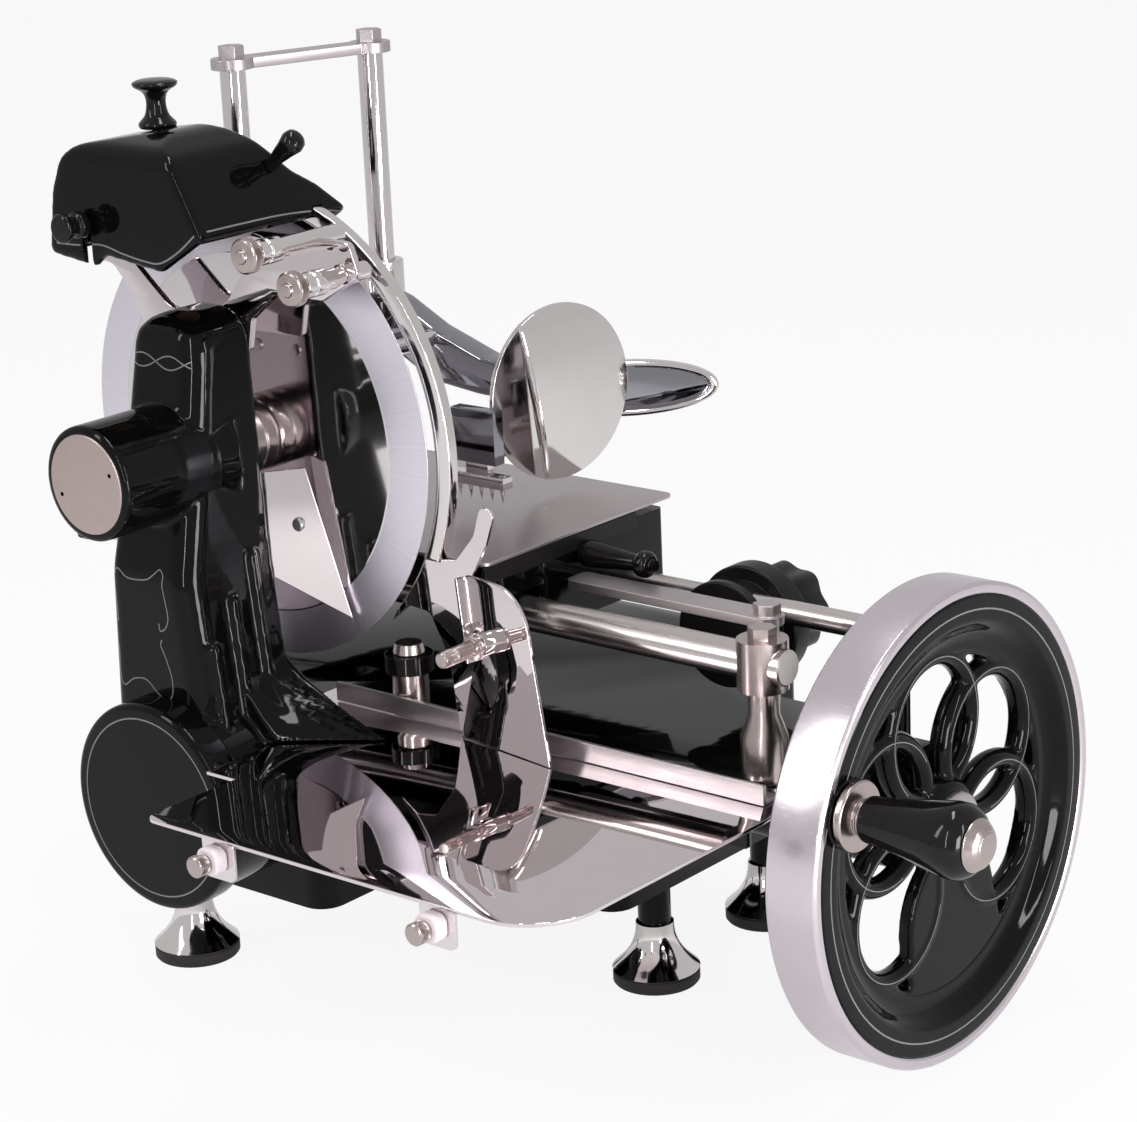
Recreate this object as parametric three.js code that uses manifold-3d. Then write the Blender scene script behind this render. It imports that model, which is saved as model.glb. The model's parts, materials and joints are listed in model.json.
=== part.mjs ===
import * as THREE from "three";
import { mergeVertices } from "three/addons/utils/BufferGeometryUtils.js";
import Module from "manifold-3d";

const wasm = await Module();
wasm.setup();

// A hand cranked slicer with a flywheel, drawn in millimetres round the centre of its blade.
// X runs along the flywheel's shaft towards the wheel, Y along the blade's shaft from the chain
// case towards the meat table, and Z up. The whole machine is shifted at the end so that it
// stands on z = 0 with its origin under the middle of its box.

// Clearances and stock
const fit = 0.3;
const overrun = 1;
const sheet = 2;
const seam = 0.02;

// Blade, its hub and its shaft
const bladeRadius = 125;
const bladeBevel = 25;
const bladeEdge = 0.6;
const bladeThick = 3.4;
const bladeDish = 1.2;
const bladeShaftRadius = 8;
const hubSleeveRadius = 21;
const hubSleeveGroove = 0.7;
const bladeNutRadius = 15;
const bladeNutHigh = 7;

// Chain case: a cast column that widens into a round foot
const caseBack = -26;
const caseWall = 3.2;
const caseDeep = 64;
const caseTop = 88;
const caseHalfWidth = 40;
const caseCorner = 9;
const caseRoundShare = 0.8;
const caseFootRadius = 55;
const hubRadius = 30.3;
const hubFront = -126;
const hubBore = 20;
const hubDiscRadius = 26.8;
const hubDiscThick = 2.6;
const backPlateThick = 3;
const bossRadius = 14;
const bossLong = 9;
const chainPlane = -46;

// Rows of the case: share of its height, of its half width and of its depth, from the top down
const caseShares = [
  [1, 0.16, 0.32, 0.12],
  [0.993, 0.3, 0.46, 0.05],
  [0.975, 0.42, 0.56, 0.01],
  [0.945, 0.48, 0.6, 0],
  [0.9, 0.515, 0.63, 0],
  [0.67, 0.625, 0.81, 0],
  [0.475, 0.69, 1, 0],
  [0.2, 0.86, 1, 0],
  [0, 1, 1, 0],
  [-0.05, 0.9, 0.97, 0],
];

// Flared web between the case and the tray
const flareTop = -102;
const flareFront = -62;
const flareRoot = 22;
const flareReach = 90;
const flareTopReach = 9;
const flareNose = 38;

// Crank drive: bevel pair, cross shaft and chain wheels
const driveX = 8;
const driveZ = -183;
const crossShaftRadius = 5;
const bevelModule = 1.5;
const bevelGearTeeth = 30;
const bevelPinionTeeth = 15;
const bevelFace = 8;
const bevelHubLong = 12;
const bevelHubShare = 0.7;
const bevelSinkShare = 0.2;
const chainPitch = 6.35;
const upperTeeth = 12;
const lowerTeeth = 28;
const sprocketThick = 2.6;
const chainWide = 6.4;
const chainThick = 2;
const toothHigh = 1.2;
const coverRadius = 58;
const coverFront = -108;
const coverEdge = 3;
const coverWall = 3;

// Base casting, feet and the deck under the slide rods
const floorZ = -320;
const baseBottom = -263;
const deckThick = 5;
const baseLeft = -96;
const baseNarrowRight = 52;
const baseStepY = 62;
const baseRight = 189;
const baseRear = 240;
const baseCorner = 14;
const baseWall = 5;
const deckLeft = -206;
const deckRight = 322;
const deckFront = 18;
const deckRear = 150;
const deckRib = 26;
const footNeckRadius = 9.5;
const footTopRadius = 10.8;
const footRadius = 25;
const footHigh = 36;
const footRingHigh = 8;
const legBossRadius = 10.4;
const footFrontY = -14;
const footStepY = 108;
const footRearY = 214;
const footRightX = 178;
const footLeftX = -68;

// Flywheel
const wheelFront = 381.7;
const wheelY = 106.9;
const wheelRadius = 127.7;
const wheelWide = 30.5;
const wheelRim = 3;
const wheelFaceInner = 104;
const wheelWebInner = 90;
const wheelStep = 8;
const wheelBackRim = 114;
const wheelWebThick = 13;
const ringCount = 6;
const ringFromCentre = 54;
const ringMeanRadius = 38;
const ringBand = 9.5;
const ringTurn = 38;
const ringFilled = 4;
const ringSoft = 1.6;
const wheelHubRadius = 21;
const wheelHubHigh = 5;
const wheelShaftRadius = 10;
const wheelBearingRadius = 29;
const hubCapRadius = 9.5;
const hubCapHigh = 5;
const crankRadius = 105;
const crankTurn = 158;
const crankPadRadius = 21;
const crankPadHigh = 2;
const crankCollarRadius = 12;
const crankCollarLong = 9;
const crankPinRadius = 5;
const gripLong = 68;
const gripSmallRadius = 10;
const gripLargeRadius = 19;
const gripCapRadius = 9.5;
const gripCapHigh = 4;

// Guard ring beyond the blade's edge, and its foot plate with a tongue
const guardGap = 2;
const guardWide = 10;
const guardNear = 3;
const guardDeep = 7;
const guardStart = -28;
const guardEnd = 116;
const guardFootZ = -55;
const footPlateSet = 1.2;
const footPlateLeft = 88;
const footPlateBottom = -149;
const footPlateWide = 78;
const footPlateHigh = 131;
const footPlateCorner = 6.5;
const footPlateShares = [
  [0, 0.42],
  [0.29, 0.71],
  [0.62, 0.735],
  [0.79, 0.85, 1],
  [0.865, 0.985, 1],
  [0.99, 0.965, 1],
  [0.9, 0.82, 1],
  [0.745, 0.66, 1],
  [0.8, 0.3],
  [0.75, 0.04],
  [0.58, 0],
  [0.52, 0.3, 1],
  [0.36, 0.49, 1],
  [0.17, 0.5, 1],
];

// Slice plate, deflector and its pin
const slicePlateThick = 1.5;
const slicePlateTop = -14;
const slicePlateHigh = 80;
const slicePlateNear = 20;
const slicePlateFar = 41;
const slicePlateLean = 26;
const slicePlateNearShare = 0.3;
const deflectorLeft = 137;
const deflectorWide = 72;
const deflectorHigh = 92;
const deflectorCorner = 34;
const deflectorTurn = -9.3;
const deflectorY = 1;
const deflectorFlange = 13;
const pinX = 163;
const pinZ = -91;
const pinRadius = 4.4;
const pinFront = -40;
const pinBack = 2;

// Tray, its rail and its two clips
const trayZ = -150;
const trayLeft = 80;
const trayRight = 343;
const trayFront = -176;
const trayRear = 30;
const trayCorner = 36;
const trayInnerLeft = 24;
const trayNotchX = 59;
const trayNotchFront = -112;
const trayNotchBack = -25;
const railHigh = 11;
const railY = 5;
const railDeep = 15;
const railLeft = 204;
const railLong = 128;
const railThick = 2.5;
const clipLeftX = 128;
const clipStep = 146;
const clipWide = 22;
const clipDrop = 24;
const clipY = -172;
const clipBlockWide = 15;
const clipBlockDeep = 8;
const clipBlockHigh = 14;
const clipScrewRadius = 7.4;
const clipScrewLong = 11;
const clipFlutes = 12;
const fluteShare = 0.9;
const studHoleRadius = 3.1;
const cornerSmallShare = 0.2;

// Vertical roller beside the blade
const rollerX = 85;
const rollerY = 19;
const rollerZ = -122;
const rollerRadius = 13.5;
const rollerHigh = 10;
const rollerBoss = 10;
const rollerNutRadius = 9;
const rollerNutHigh = 6;
const rollerBore = 5;
const nutTaperShare = 0.85;

// Slide rods, posts and clamp
const rodZ = -90;
const frontRodY = 44;
const frontRodRadius = 9.4;
const rearRodY = 119;
const rearRodRadius = 6.6;
const rodLeft = -208;
const rodRight = 322;
const rearRodRight = 344;
const postX = 306;
const postLeftX = -196;
const rearPostX = 332;
const postRadius = 9.6;
const postWall = 4;
const postFootRadius = 12.4;
const postFootHigh = 24;
const postNeckRadius = 8;
const postNeckHigh = 12;
const boltAcross = 13;
const boltHigh = 6;
const flatCut = 3;

// Carriage saddle, meat table and feed handle
const tableZ = -55;
const tableLeft = -80;
const tableRight = 150;
const tableFront = 12;
const tableRear = 174;
const tableLip = 5;
const saddleLeft = -72;
const saddleRight = 147;
const saddleFront = 26;
const saddleRear = 168;
const saddleTop = -62;
const saddleBottom = -106;
const saddleWall = 6;
const saddleStepY = 62;
const saddleStepZ = -79;
const shoeX = -62;
const shoeWide = 34;
const shoeWall = 4;
const stripHigh = 9.2;
const stripThick = 2.4;
const stripLong = 128;
const handleY = 94;
const handleZ = -69.3;
const handleLong = 52;
const handleBallRadius = 6.8;
const handleBoreRadius = 2.2;
const runnerWide = 12;
const runnerInset = 20;
const linkZ = -80;
const linkWide = 18;
const linkThick = 5;
const linkLong = 128;
const linkEndX = 288;
const linkEndY = 73;

// Press on two rods
const pressRodRadius = 7.25;
const pressRodTop = 186;
const pressFarX = -64;
const pressFarY = 62;
const pressNearX = -38;
const pressNearY = 146;
const pressBarThick = 6;
const pressBarEnd = 12;
const pressBarWide = 15;
const pressBolt = 13;
const pressBoltHigh = 7;
const armX = -20;
const armY = 100;
const armZ = 20;
const armTop = 60;
const armTipX = 86;
const armTipZ = 21;
const armSleeve = 12;
const armSleeveHigh = 46;
const armWide = 26;
const armThick = 22;
const armThin = 9;
const armBevel = 1.5;
const armKnobRadius = 9;
const pressKnobX = 0;
const knobFootShare = 0.6;
const knobCrownShare = 0.6;
const crossBarRadius = 5;
const crossBarX = 82;
const crossPadRadius = 9;
const discX = 92;
const discThick = 3;
const discY = 155;
const discRadius = 48.4;
const wingChord = 84;
const wingRise = 31;
const wingY = 150;
const tongueLong = 74;
const tongueWide = 44;
const tongueThick = 9;
const tongueBevel = 2;
const tongueRim = 7;
const tongueY = 151;
const tongueZ = 18;
const spikeBoxX = 64;
const spikeBoxWide = 22;
const spikeBoxSink = 4;
const spikeBarX = 48;
const spikeBarZ = -24;
const spikeBarLong = 56;
const spikeBarHigh = 7;
const spikeBarDeep = 9;
const spikeCount = 5;
const spikeLong = 15;
const spikeRadius = 1.9;

// Thickness dial on the rear rod
const dialX = 234;
const dialZ = -105;
const dialFront = 105;
const dialDiscRadius = 29.5;
const dialDiscThick = 6;
const dialBodyRadius = 24.5;
const dialRingRadius = 32.6;
const dialRingStart = 127;
const dialRingThick = 14;
const dialNeckRadius = 17;
const dialNeckLong = 7;
const knobRadius = 25;
const knobLobe = 3;
const knobLobes = 7;
const knobThick = 22;
const knobLobeSteps = 6;
const knobPinRadius = 4;

// Sharpener: bracket, hood, knobs, stones and studs
const bracketNear = -25.7;
const bracketThick = 4;
const bracketLeft = -94;
const bracketBottom = 52;
const bracketWide = 202;
const bracketHigh = 68;
const bracketCorner = 5;
const bracketTop = 120;
const bracketShares = [
  [0, 0.59, 1],
  [0.17, 0.32],
  [0.34, 0.2],
  [0.34, 0],
  [0.585, 0],
  [0.604, 0.28],
  [0.698, 0.5],
  [0.866, 0.5],
  [1, 0.72, 1],
  [0.97, 0.98, 1],
  [0.624, 0.98, 1],
  [0.584, 0.62, 1],
  [0.473, 0.42, 1],
  [0.332, 0.42, 1],
  [0.219, 0.62, 1],
  [0.079, 0.83, 1],
  [0, 0.83, 1],
];
const hoodLeft = -66;
const hoodWide = 118;
const hoodBottom = 100;
const hoodHigh = 76;
const hoodFront = -80;
const hoodDeep = 112;
const hoodWall = 2.5;
const hoodCorner = 12;
const hoodFrontShares = [
  [0, 0.1, 0.3],
  [0.05, 0.55, 1],
  [0.16, 0.84, 2],
  [0.42, 0.9, 3],
  [0.62, 0.97, 3],
  [0.8, 0.84, 1],
  [1, 0.32, 0.2],
  [0.72, 0.06, 0.4],
  [0.36, 0.13, 0.6],
  [0.3, 0.04, 0.4],
];
const hoodSideShares = [
  [0, 0],
  [0, 0.88, 1],
  [0.3, 1, 2],
  [0.52, 0.96, 2],
  [0.72, 0.62, 0.5],
  [0.84, 0.5, 1],
  [1, 0.26, 0.3],
  [0.96, 0.1, 0.3],
  [0.6, 0],
];
const stoneRadius = 20;
const stoneThick = 9;
const stoneY = -18;
const farStoneX = -84;
const farStoneY = 9;
const farStoneZ = 101;
const farStoneRadius = 15;
const spindleRadius = 3.2;
const tabX = 2;
const tabWide = 16;
const tabJoin = 10;
const mushroomX = -28;
const mushroomY = -30;
const mushroomHigh = 27;
const mushroomRadius = 9.5;
const coneX = 38;
const coneY = -14;
const coneZ = 152;
const coneLong = 27;
const coneRadius = 6.6;
const coneTilt = 53;
const knobShank = 12;
const knobLift = 1.2;
const bobbinX = -35;
const bobbinZ = 126;
const bobbinLong = 34;
const bobbinRadius = 8;
const lowStudX = 90;
const lowStudZ = 99;
const highStudX = 73;
const highStudZ = 117;
const studRadius = 5.4;
const studBack = -2;
const lowStudFront = -58;
const highStudFront = -72;
const knurlRadius = 9.3;
const knurlThick = 11;
const knurlSet = 8;
const knurlFlutes = 14;
const studCapShare = 0.8;
const studCapLong = 3;

// Colours and finishes
const finish = (color, roughness, metalness) =>
  new THREE.MeshStandardMaterial({ color, roughness, metalness });
const blackEnamel = finish(0x0b0b0c, 0.12, 0.1);
const polishedSteel = finish(0xcbbfc4, 0.08, 1);
const brushedSteel = finish(0xb5a6a4, 0.3, 1);
const bladeSteel = finish(0xd2ccd8, 0.2, 1);
const blackPlastic = finish(0x151316, 0.3, 0);
const rubber = finish(0x120a0a, 0.8, 0);
const nylon = finish(0xe8dde2, 0.4, 0);
const grindstone = finish(0x8a5a44, 0.9, 0);
const hiddenSteel = finish(0x77787c, 0.4, 0.9);

const axisX = new THREE.Vector3(1, 0, 0);
const axisY = new THREE.Vector3(0, 1, 0);
const axisZ = new THREE.Vector3(0, 0, 1);

// For each direction, the frame that turns an outline's across, up and thickness into X, Y and Z
const slabFrames = {
  x: new THREE.Matrix4().makeBasis(axisY, axisZ, axisX),
  y: new THREE.Matrix4().makeBasis(axisX, axisZ, axisY.clone().negate()),
  z: new THREE.Matrix4(),
};
const turnedFrames = {
  x: new THREE.Matrix4().makeRotationZ(-Math.PI / 2),
  y: new THREE.Matrix4(),
  z: new THREE.Matrix4().makeRotationX(Math.PI / 2),
};
const rad = THREE.MathUtils.degToRad;

// A closed geometry as a solid that can be joined and cut
function solidOf(geometry) {
  const bare = geometry.clone();
  bare.deleteAttribute("normal");
  bare.deleteAttribute("uv");
  const merged = mergeVertices(bare, seam / 10);
  return new wasm.Manifold(
    new wasm.Mesh({
      numProp: 3,
      vertProperties: new Float32Array(merged.attributes.position.array),
      triVerts: new Uint32Array(merged.index.array),
    }),
  );
}

function geometryOf(solid) {
  const { vertProperties, triVerts } = solid.getMesh();
  const geometry = new THREE.BufferGeometry();
  geometry.setAttribute("position", new THREE.BufferAttribute(vertProperties, 3));
  geometry.setIndex(new THREE.BufferAttribute(triVerts, 1));
  geometry.computeVertexNormals();
  return geometry;
}

const join = (...pieces) => geometryOf(pieces.map(solidOf).reduce((a, b) => a.add(b)));
const common = (...pieces) => geometryOf(pieces.map(solidOf).reduce((a, b) => a.intersect(b)));
const cut = (piece, ...tools) =>
  geometryOf(tools.map(solidOf).reduce((a, b) => a.subtract(b), solidOf(piece)));
const moved = (geometry, x, y, z) => geometry.clone().translate(x, y, z);

// A closed outline through corners [across, up, radius]
function outline(corners) {
  const places = corners.map(([u, v]) => new THREE.Vector2(u, v));
  const shape = new THREE.Shape();
  corners.forEach(([, , radius = 0], i) => {
    const here = places[i];
    if (radius === 0) {
      if (i === 0) shape.moveTo(here.x, here.y);
      else shape.lineTo(here.x, here.y);
      return;
    }
    const back = places.at(i - 1).clone().sub(here);
    const on = places[(i + 1) % places.length].clone().sub(here);
    const room = Math.min(back.length(), on.length()) / 2;
    back.normalize();
    on.normalize();
    const half = Math.acos(THREE.MathUtils.clamp(back.dot(on), -1, 1)) / 2;
    const round = Math.min(radius, room * Math.tan(half));
    const middle = back.clone().add(on).normalize().multiplyScalar(round / Math.sin(half)).add(here);
    const from = back.multiplyScalar(round / Math.tan(half)).add(here).sub(middle);
    const to = on.multiplyScalar(round / Math.tan(half)).add(here).sub(middle);
    if (i === 1 && shape.curves.length === 0) shape.lineTo(middle.x + from.x, middle.y + from.y);
    shape.absarc(middle.x, middle.y, round, from.angle(), to.angle(), from.cross(to) < 0);
  });
  shape.closePath();
  return shape;
}

// An outline from shares of a box: [across, up, share of the corner radius]
const fromShares = (shares, left, bottom, wide, high, corner = 0) =>
  outline(shares.map(([u, v, round = 0]) => [left + u * wide, bottom + v * high, round * corner]));

const rectangle = (u0, v0, u1, v1, radius = 0) =>
  outline([
    [u0, v0, radius],
    [u1, v0, radius],
    [u1, v1, radius],
    [u0, v1, radius],
  ]);

const circle = (radius, u = 0, v = 0) => new THREE.Shape().absarc(u, v, radius, 0, 2 * Math.PI);

function withHoles(shape, ...holes) {
  shape.holes.push(...holes);
  return shape;
}

// An outline given thickness along an axis, with its edges broken by an optional bevel
function slab(shape, axis, from, to, curveSegments = 2, bevel = 0) {
  const geometry = new THREE.ExtrudeGeometry(shape, {
    depth: to - from - 2 * bevel,
    curveSegments,
    bevelEnabled: bevel > 0,
    bevelThickness: bevel,
    bevelSize: bevel,
    bevelOffset: -bevel,
    bevelSegments: 1,
  });
  geometry.translate(0, 0, bevel);
  geometry.applyMatrix4(slabFrames[axis]);
  const start = { x: [from, 0, 0], y: [0, to, 0], z: [0, 0, from] }[axis];
  return geometry.translate(...start);
}

const box = (x0, x1, y0, y1, z0, z1, radius = 0) =>
  slab(rectangle(x0, y0, x1, y1, radius), "z", z0, z1, 2);

// A profile of [along, radius] places turned round an axis
function turned(profile, axis, sides = 16) {
  const points = profile.map(([along, radius]) => new THREE.Vector2(radius, along));
  return new THREE.LatheGeometry(points, sides).applyMatrix4(turnedFrames[axis]);
}

const rod = (radius, axis, from, to, sides = 16) =>
  turned(
    [
      [from, 0],
      [from, radius],
      [to, radius],
      [to, 0],
    ],
    axis,
    sides,
  );

const bored = (outer, inner, axis, from, to, sides = 24) =>
  turned(
    [
      [from, inner],
      [from, outer],
      [to, outer],
      [to, inner],
      [from, inner],
    ],
    axis,
    sides,
  );

// A hexagon head standing on a face
const hexagon = (across, axis, from, to) =>
  rod(across / Math.sqrt(3), axis, from, to, 6);

// A skin of equal rings of points, closed at both ends
function loft(rings) {
  const count = rings[0].length;
  const middle = (ring) =>
    ring.reduce((sum, p) => sum.add(p), new THREE.Vector3()).divideScalar(count);
  const points = [...rings.flat(), middle(rings[0]), middle(rings.at(-1))];
  const index = [];
  for (let ring = 0; ring < rings.length - 1; ring++) {
    for (let i = 0; i < count; i++) {
      const j = (i + 1) % count;
      const [a, b, c, d] = [ring * count + i, ring * count + j, (ring + 1) * count + j, (ring + 1) * count + i];
      index.push(a, b, c, a, c, d);
    }
  }
  const last = (rings.length - 1) * count;
  for (let i = 0; i < count; i++) {
    const j = (i + 1) % count;
    index.push(rings.length * count, j, i);
    index.push(rings.length * count + 1, last + i, last + j);
  }
  const geometry = new THREE.BufferGeometry().setFromPoints(points);
  geometry.setIndex(index);
  return geometry.toNonIndexed();
}

// One named piece of the machine
function piece(name, geometry, material) {
  const mesh = new THREE.Mesh(geometry, material);
  mesh.name = name;
  return mesh;
}

function assembly(x, y, z, ...pieces) {
  const group = new THREE.Group();
  group.position.set(x, y, z);
  group.add(...pieces);
  return group;
}

// Chain case

const caseHigh = caseTop - driveZ;
const caseRows = caseShares.map(([up, wide, deep, round]) => ({
  z: driveZ + up * caseHigh,
  half: wide * caseHalfWidth,
  front: caseBack - deep * caseDeep,
  back: caseBack - round * caseDeep,
  x: up < 0.5 ? driveX * (1 - Math.max(up, 0) / 0.5) * 0.5 : 0,
}));

// The case's rows as rings of points, drawn in by a wall and opened at the back
function caseRings(inset, opening = 0) {
  return caseRows.toReversed().map(({ z, half, front, back, x }) => {
    const [left, right] = [x - half + inset, x + half - inset];
    const rear = opening > 0 ? caseBack + opening : back;
    const radius = Math.min(caseCorner, ((right - left) / 2) * caseRoundShare);
    const ring = outline([
      [left, front + inset, radius],
      [right, front + inset, radius],
      [right, rear],
      [left, rear],
    ]).extractPoints(2).shape;
    return ring.slice(0, -1).map((p) => new THREE.Vector3(p.x, p.y, z - inset));
  });
}

function caseCasting() {
  const shell = loft(caseRings(0));
  const foot = moved(rod(caseFootRadius, "y", caseBack - caseDeep, caseBack, 32), driveX, 0, driveZ);
  const hub = turned(
    [
      [hubFront, 0],
      [hubFront, hubRadius - coverEdge],
      [hubFront + coverEdge, hubRadius],
      [caseBack - caseDeep / 2, hubRadius],
      [caseBack - caseDeep / 2, 0],
    ],
    "y",
    20,
  );
  const hollow = loft(caseRings(caseWall, overrun));
  const footHollow = moved(
    rod(caseFootRadius - caseWall, "y", caseBack - caseDeep + caseWall, caseBack + overrun, 32),
    driveX,
    0,
    driveZ,
  );
  const hubHollow = rod(hubBore, "y", hubFront + bossLong, caseBack - caseWall, 32);
  const discSeat = rod(hubDiscRadius + fit, "y", hubFront - overrun, hubFront + hubDiscThick, 32);
  const shaftBore = rod(bladeShaftRadius + fit, "y", hubFront, caseBack);
  return cut(join(shell, foot, hub, flare()), hollow, footHollow, hubHollow, discSeat, shaftBore);
}

// The flared web grows from the case and spreads on to the tray
function flare() {
  const steps = 6;
  const rings = [];
  for (let i = 0; i <= steps; i++) {
    const down = i / steps;
    const reach = flareTopReach + (flareReach - flareTopReach) * down ** 1.8;
    const nose = flareTopReach + (flareNose - flareTopReach) * down ** 1.4;
    const z = flareTop + (trayZ + fit - flareTop) * down;
    rings.push([
      new THREE.Vector3(flareRoot, flareFront, z),
      new THREE.Vector3(flareRoot + nose, flareFront, z),
      new THREE.Vector3(flareRoot + (nose + reach) / 2, (flareFront + caseBack) / 2, z),
      new THREE.Vector3(flareRoot + reach, caseBack, z),
      new THREE.Vector3(flareRoot, caseBack, z),
    ]);
  }
  return loft(rings.toReversed());
}

// The plate that closes the back of the case, with a boss for the blade's rear bearing
function backPlate() {
  const inset = caseWall + fit;
  const left = caseRows.map(({ x, half, z }) => [x - half + inset, z - inset]);
  const right = caseRows.map(({ x, half, z }) => [x + half - inset, z - inset]);
  const leaf = outline([...left.slice(1), ...right.slice(1).toReversed()]);
  const front = caseBack - backPlateThick;
  const round = moved(rod(caseFootRadius - inset, "y", front, caseBack, 40), driveX, 0, driveZ);
  const boss = rod(bossRadius, "y", front - bossLong, front + backPlateThick / 2);
  const bore = rod(bladeShaftRadius + fit, "y", front - bossLong - overrun, caseBack + overrun);
  const crossBore = moved(
    rod(crossShaftRadius + fit, "y", front - overrun, caseBack + overrun),
    driveX,
    0,
    driveZ,
  );
  return cut(join(slab(leaf, "y", front, caseBack), round, boss), bore, crossBore);
}

// The round cover that closes the foot of the case, dished and rounded at its rim
const caseFront = caseBack - caseDeep;
const chainCover = () =>
  turned(
    [
      [coverFront, 0],
      [coverFront, coverRadius - coverEdge],
      [coverFront + coverEdge * 0.3, coverRadius - coverEdge * 0.3],
      [coverFront + coverEdge, coverRadius],
      [caseFront - fit, coverRadius],
      [caseFront - fit, coverRadius - coverWall],
      [coverFront + coverWall, coverRadius - coverWall],
      [coverFront + coverWall, 0],
    ],
    "y",
    20,
  );

// The outline of a chain run round two wheels
function chainOutline(upperRadius, lowerRadius) {
  const lower = new THREE.Vector2(driveX, driveZ);
  const down = lower.angle();
  const open = Math.acos((upperRadius - lowerRadius) / lower.length());
  return new THREE.Shape()
    .absarc(0, 0, upperRadius, down + open, down - open + 2 * Math.PI)
    .absarc(lower.x, lower.y, lowerRadius, down - open, down + open);
}

const pitchRadius = (teeth) => chainPitch / 2 / Math.sin(Math.PI / teeth);

function chain() {
  const inner = toothHigh + fit;
  const outer = inner + chainThick;
  const [upper, lower] = [pitchRadius(upperTeeth), pitchRadius(lowerTeeth)];
  const band = withHoles(
    chainOutline(upper + outer, lower + outer),
    chainOutline(upper + inner, lower + inner),
  );
  return slab(band, "y", chainPlane - chainWide / 2, chainPlane + chainWide / 2, 12);
}

function sprocket(teeth, bore) {
  const pitch = pitchRadius(teeth);
  const shape = new THREE.Shape();
  const corners = [];
  for (let i = 0; i < teeth; i++) {
    [
      [-0.34, pitch - toothHigh],
      [-0.14, pitch + toothHigh],
      [0.14, pitch + toothHigh],
      [0.34, pitch - toothHigh],
    ].forEach(([share, radius]) => {
      const angle = ((i + share) / teeth) * 2 * Math.PI;
      corners.push(new THREE.Vector2(radius * Math.cos(angle), radius * Math.sin(angle)));
    });
  }
  shape.setFromPoints(corners);
  shape.holes.push(circle(bore + fit));
  return slab(shape, "y", chainPlane - sprocketThick / 2, chainPlane + sprocketThick / 2, 5);
}

// A bevel gear with its cone's tip at the origin and its axis along Z: every ring of the
// tooth outline shrinks towards the tip
function bevelGear(teeth, mateTeeth, hubLong) {
  const radius = (bevelModule * teeth) / 2;
  const cone = Math.atan(teeth / mateTeeth);
  const reach = radius / Math.sin(cone);
  const tip = (0.8 * bevelModule) / reach;
  const root = (1.1 * bevelModule) / reach;
  const rings = [reach - bevelFace, reach].map((distance) => {
    const ring = [];
    for (let i = 0; i < teeth; i++) {
      [
        [-0.3, -root],
        [-0.11, tip],
        [0.11, tip],
        [0.3, -root],
      ].forEach(([share, lift]) => {
        const around = ((i + share) / teeth) * 2 * Math.PI;
        const out = distance * Math.sin(cone + lift);
        const along = distance * Math.cos(cone + lift);
        ring.push(new THREE.Vector3(out * Math.cos(around), out * Math.sin(around), along));
      });
    }
    return ring;
  });
  const back = reach * Math.cos(cone);
  const hub = rod(radius * bevelHubShare, "z", back - bevelFace * bevelSinkShare, back + hubLong);
  return join(loft(rings), hub);
}

// Blade and what turns with it

const blade = () =>
  turned(
    [
      [-bladeThick, bladeShaftRadius + fit],
      [-bladeThick, bladeRadius - bladeBevel],
      [-bladeEdge, bladeRadius],
      [0, bladeRadius],
      [-bladeDish, bladeRadius - bladeBevel],
      [-bladeDish, bladeShaftRadius + fit],
      [-bladeThick, bladeShaftRadius + fit],
    ],
    "y",
    56,
  );

function hubSleeve() {
  const [from, to] = [caseBack + fit, -bladeThick - fit];
  const long = to - from;
  const inner = bladeShaftRadius + fit;
  const low = hubSleeveRadius - hubSleeveGroove;
  return turned(
    [
      [from, inner],
      [from, hubSleeveRadius],
      [from + long * 0.46, hubSleeveRadius],
      [from + long * 0.48, low],
      [from + long * 0.52, low],
      [from + long * 0.54, hubSleeveRadius],
      [from + long * 0.9, hubSleeveRadius],
      [to, low],
      [to, inner],
      [from, inner],
    ],
    "y",
    20,
  );
}

const bladeNut = () =>
  turned(
    [
      [-bladeDish + fit, 0],
      [-bladeDish + fit, bladeNutRadius],
      [bladeNutHigh * nutTaperShare, bladeNutRadius],
      [bladeNutHigh, bladeNutRadius * nutTaperShare],
      [bladeNutHigh, 0],
    ],
    "y",
    20,
  );

// Base casting: a hollow box on four legs, a deck under the rods and an arm for the wheel's shaft

const deckTop = trayZ - sheet - fit;
const deckUnder = deckTop - deckThick;
const baseFront = caseBack + fit;
const feet = [
  [footLeftX, footFrontY],
  [footRightX, footStepY],
  [footLeftX, footRearY],
  [footRightX, footRearY],
];
const armFrom = baseRight - baseWall;
const armTo = wheelFront - wheelWide - 4;

const basePlan = (inset, radius) =>
  outline(
    [
      [baseLeft + inset, baseFront + inset],
      [baseNarrowRight - inset, baseFront + inset],
      [baseNarrowRight - inset, baseStepY + inset],
      [baseRight - inset, baseStepY + inset],
      [baseRight - inset, baseRear - inset],
      [baseLeft + inset, baseRear - inset],
    ].map(([x, y]) => [x, y, radius]),
  );

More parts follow.
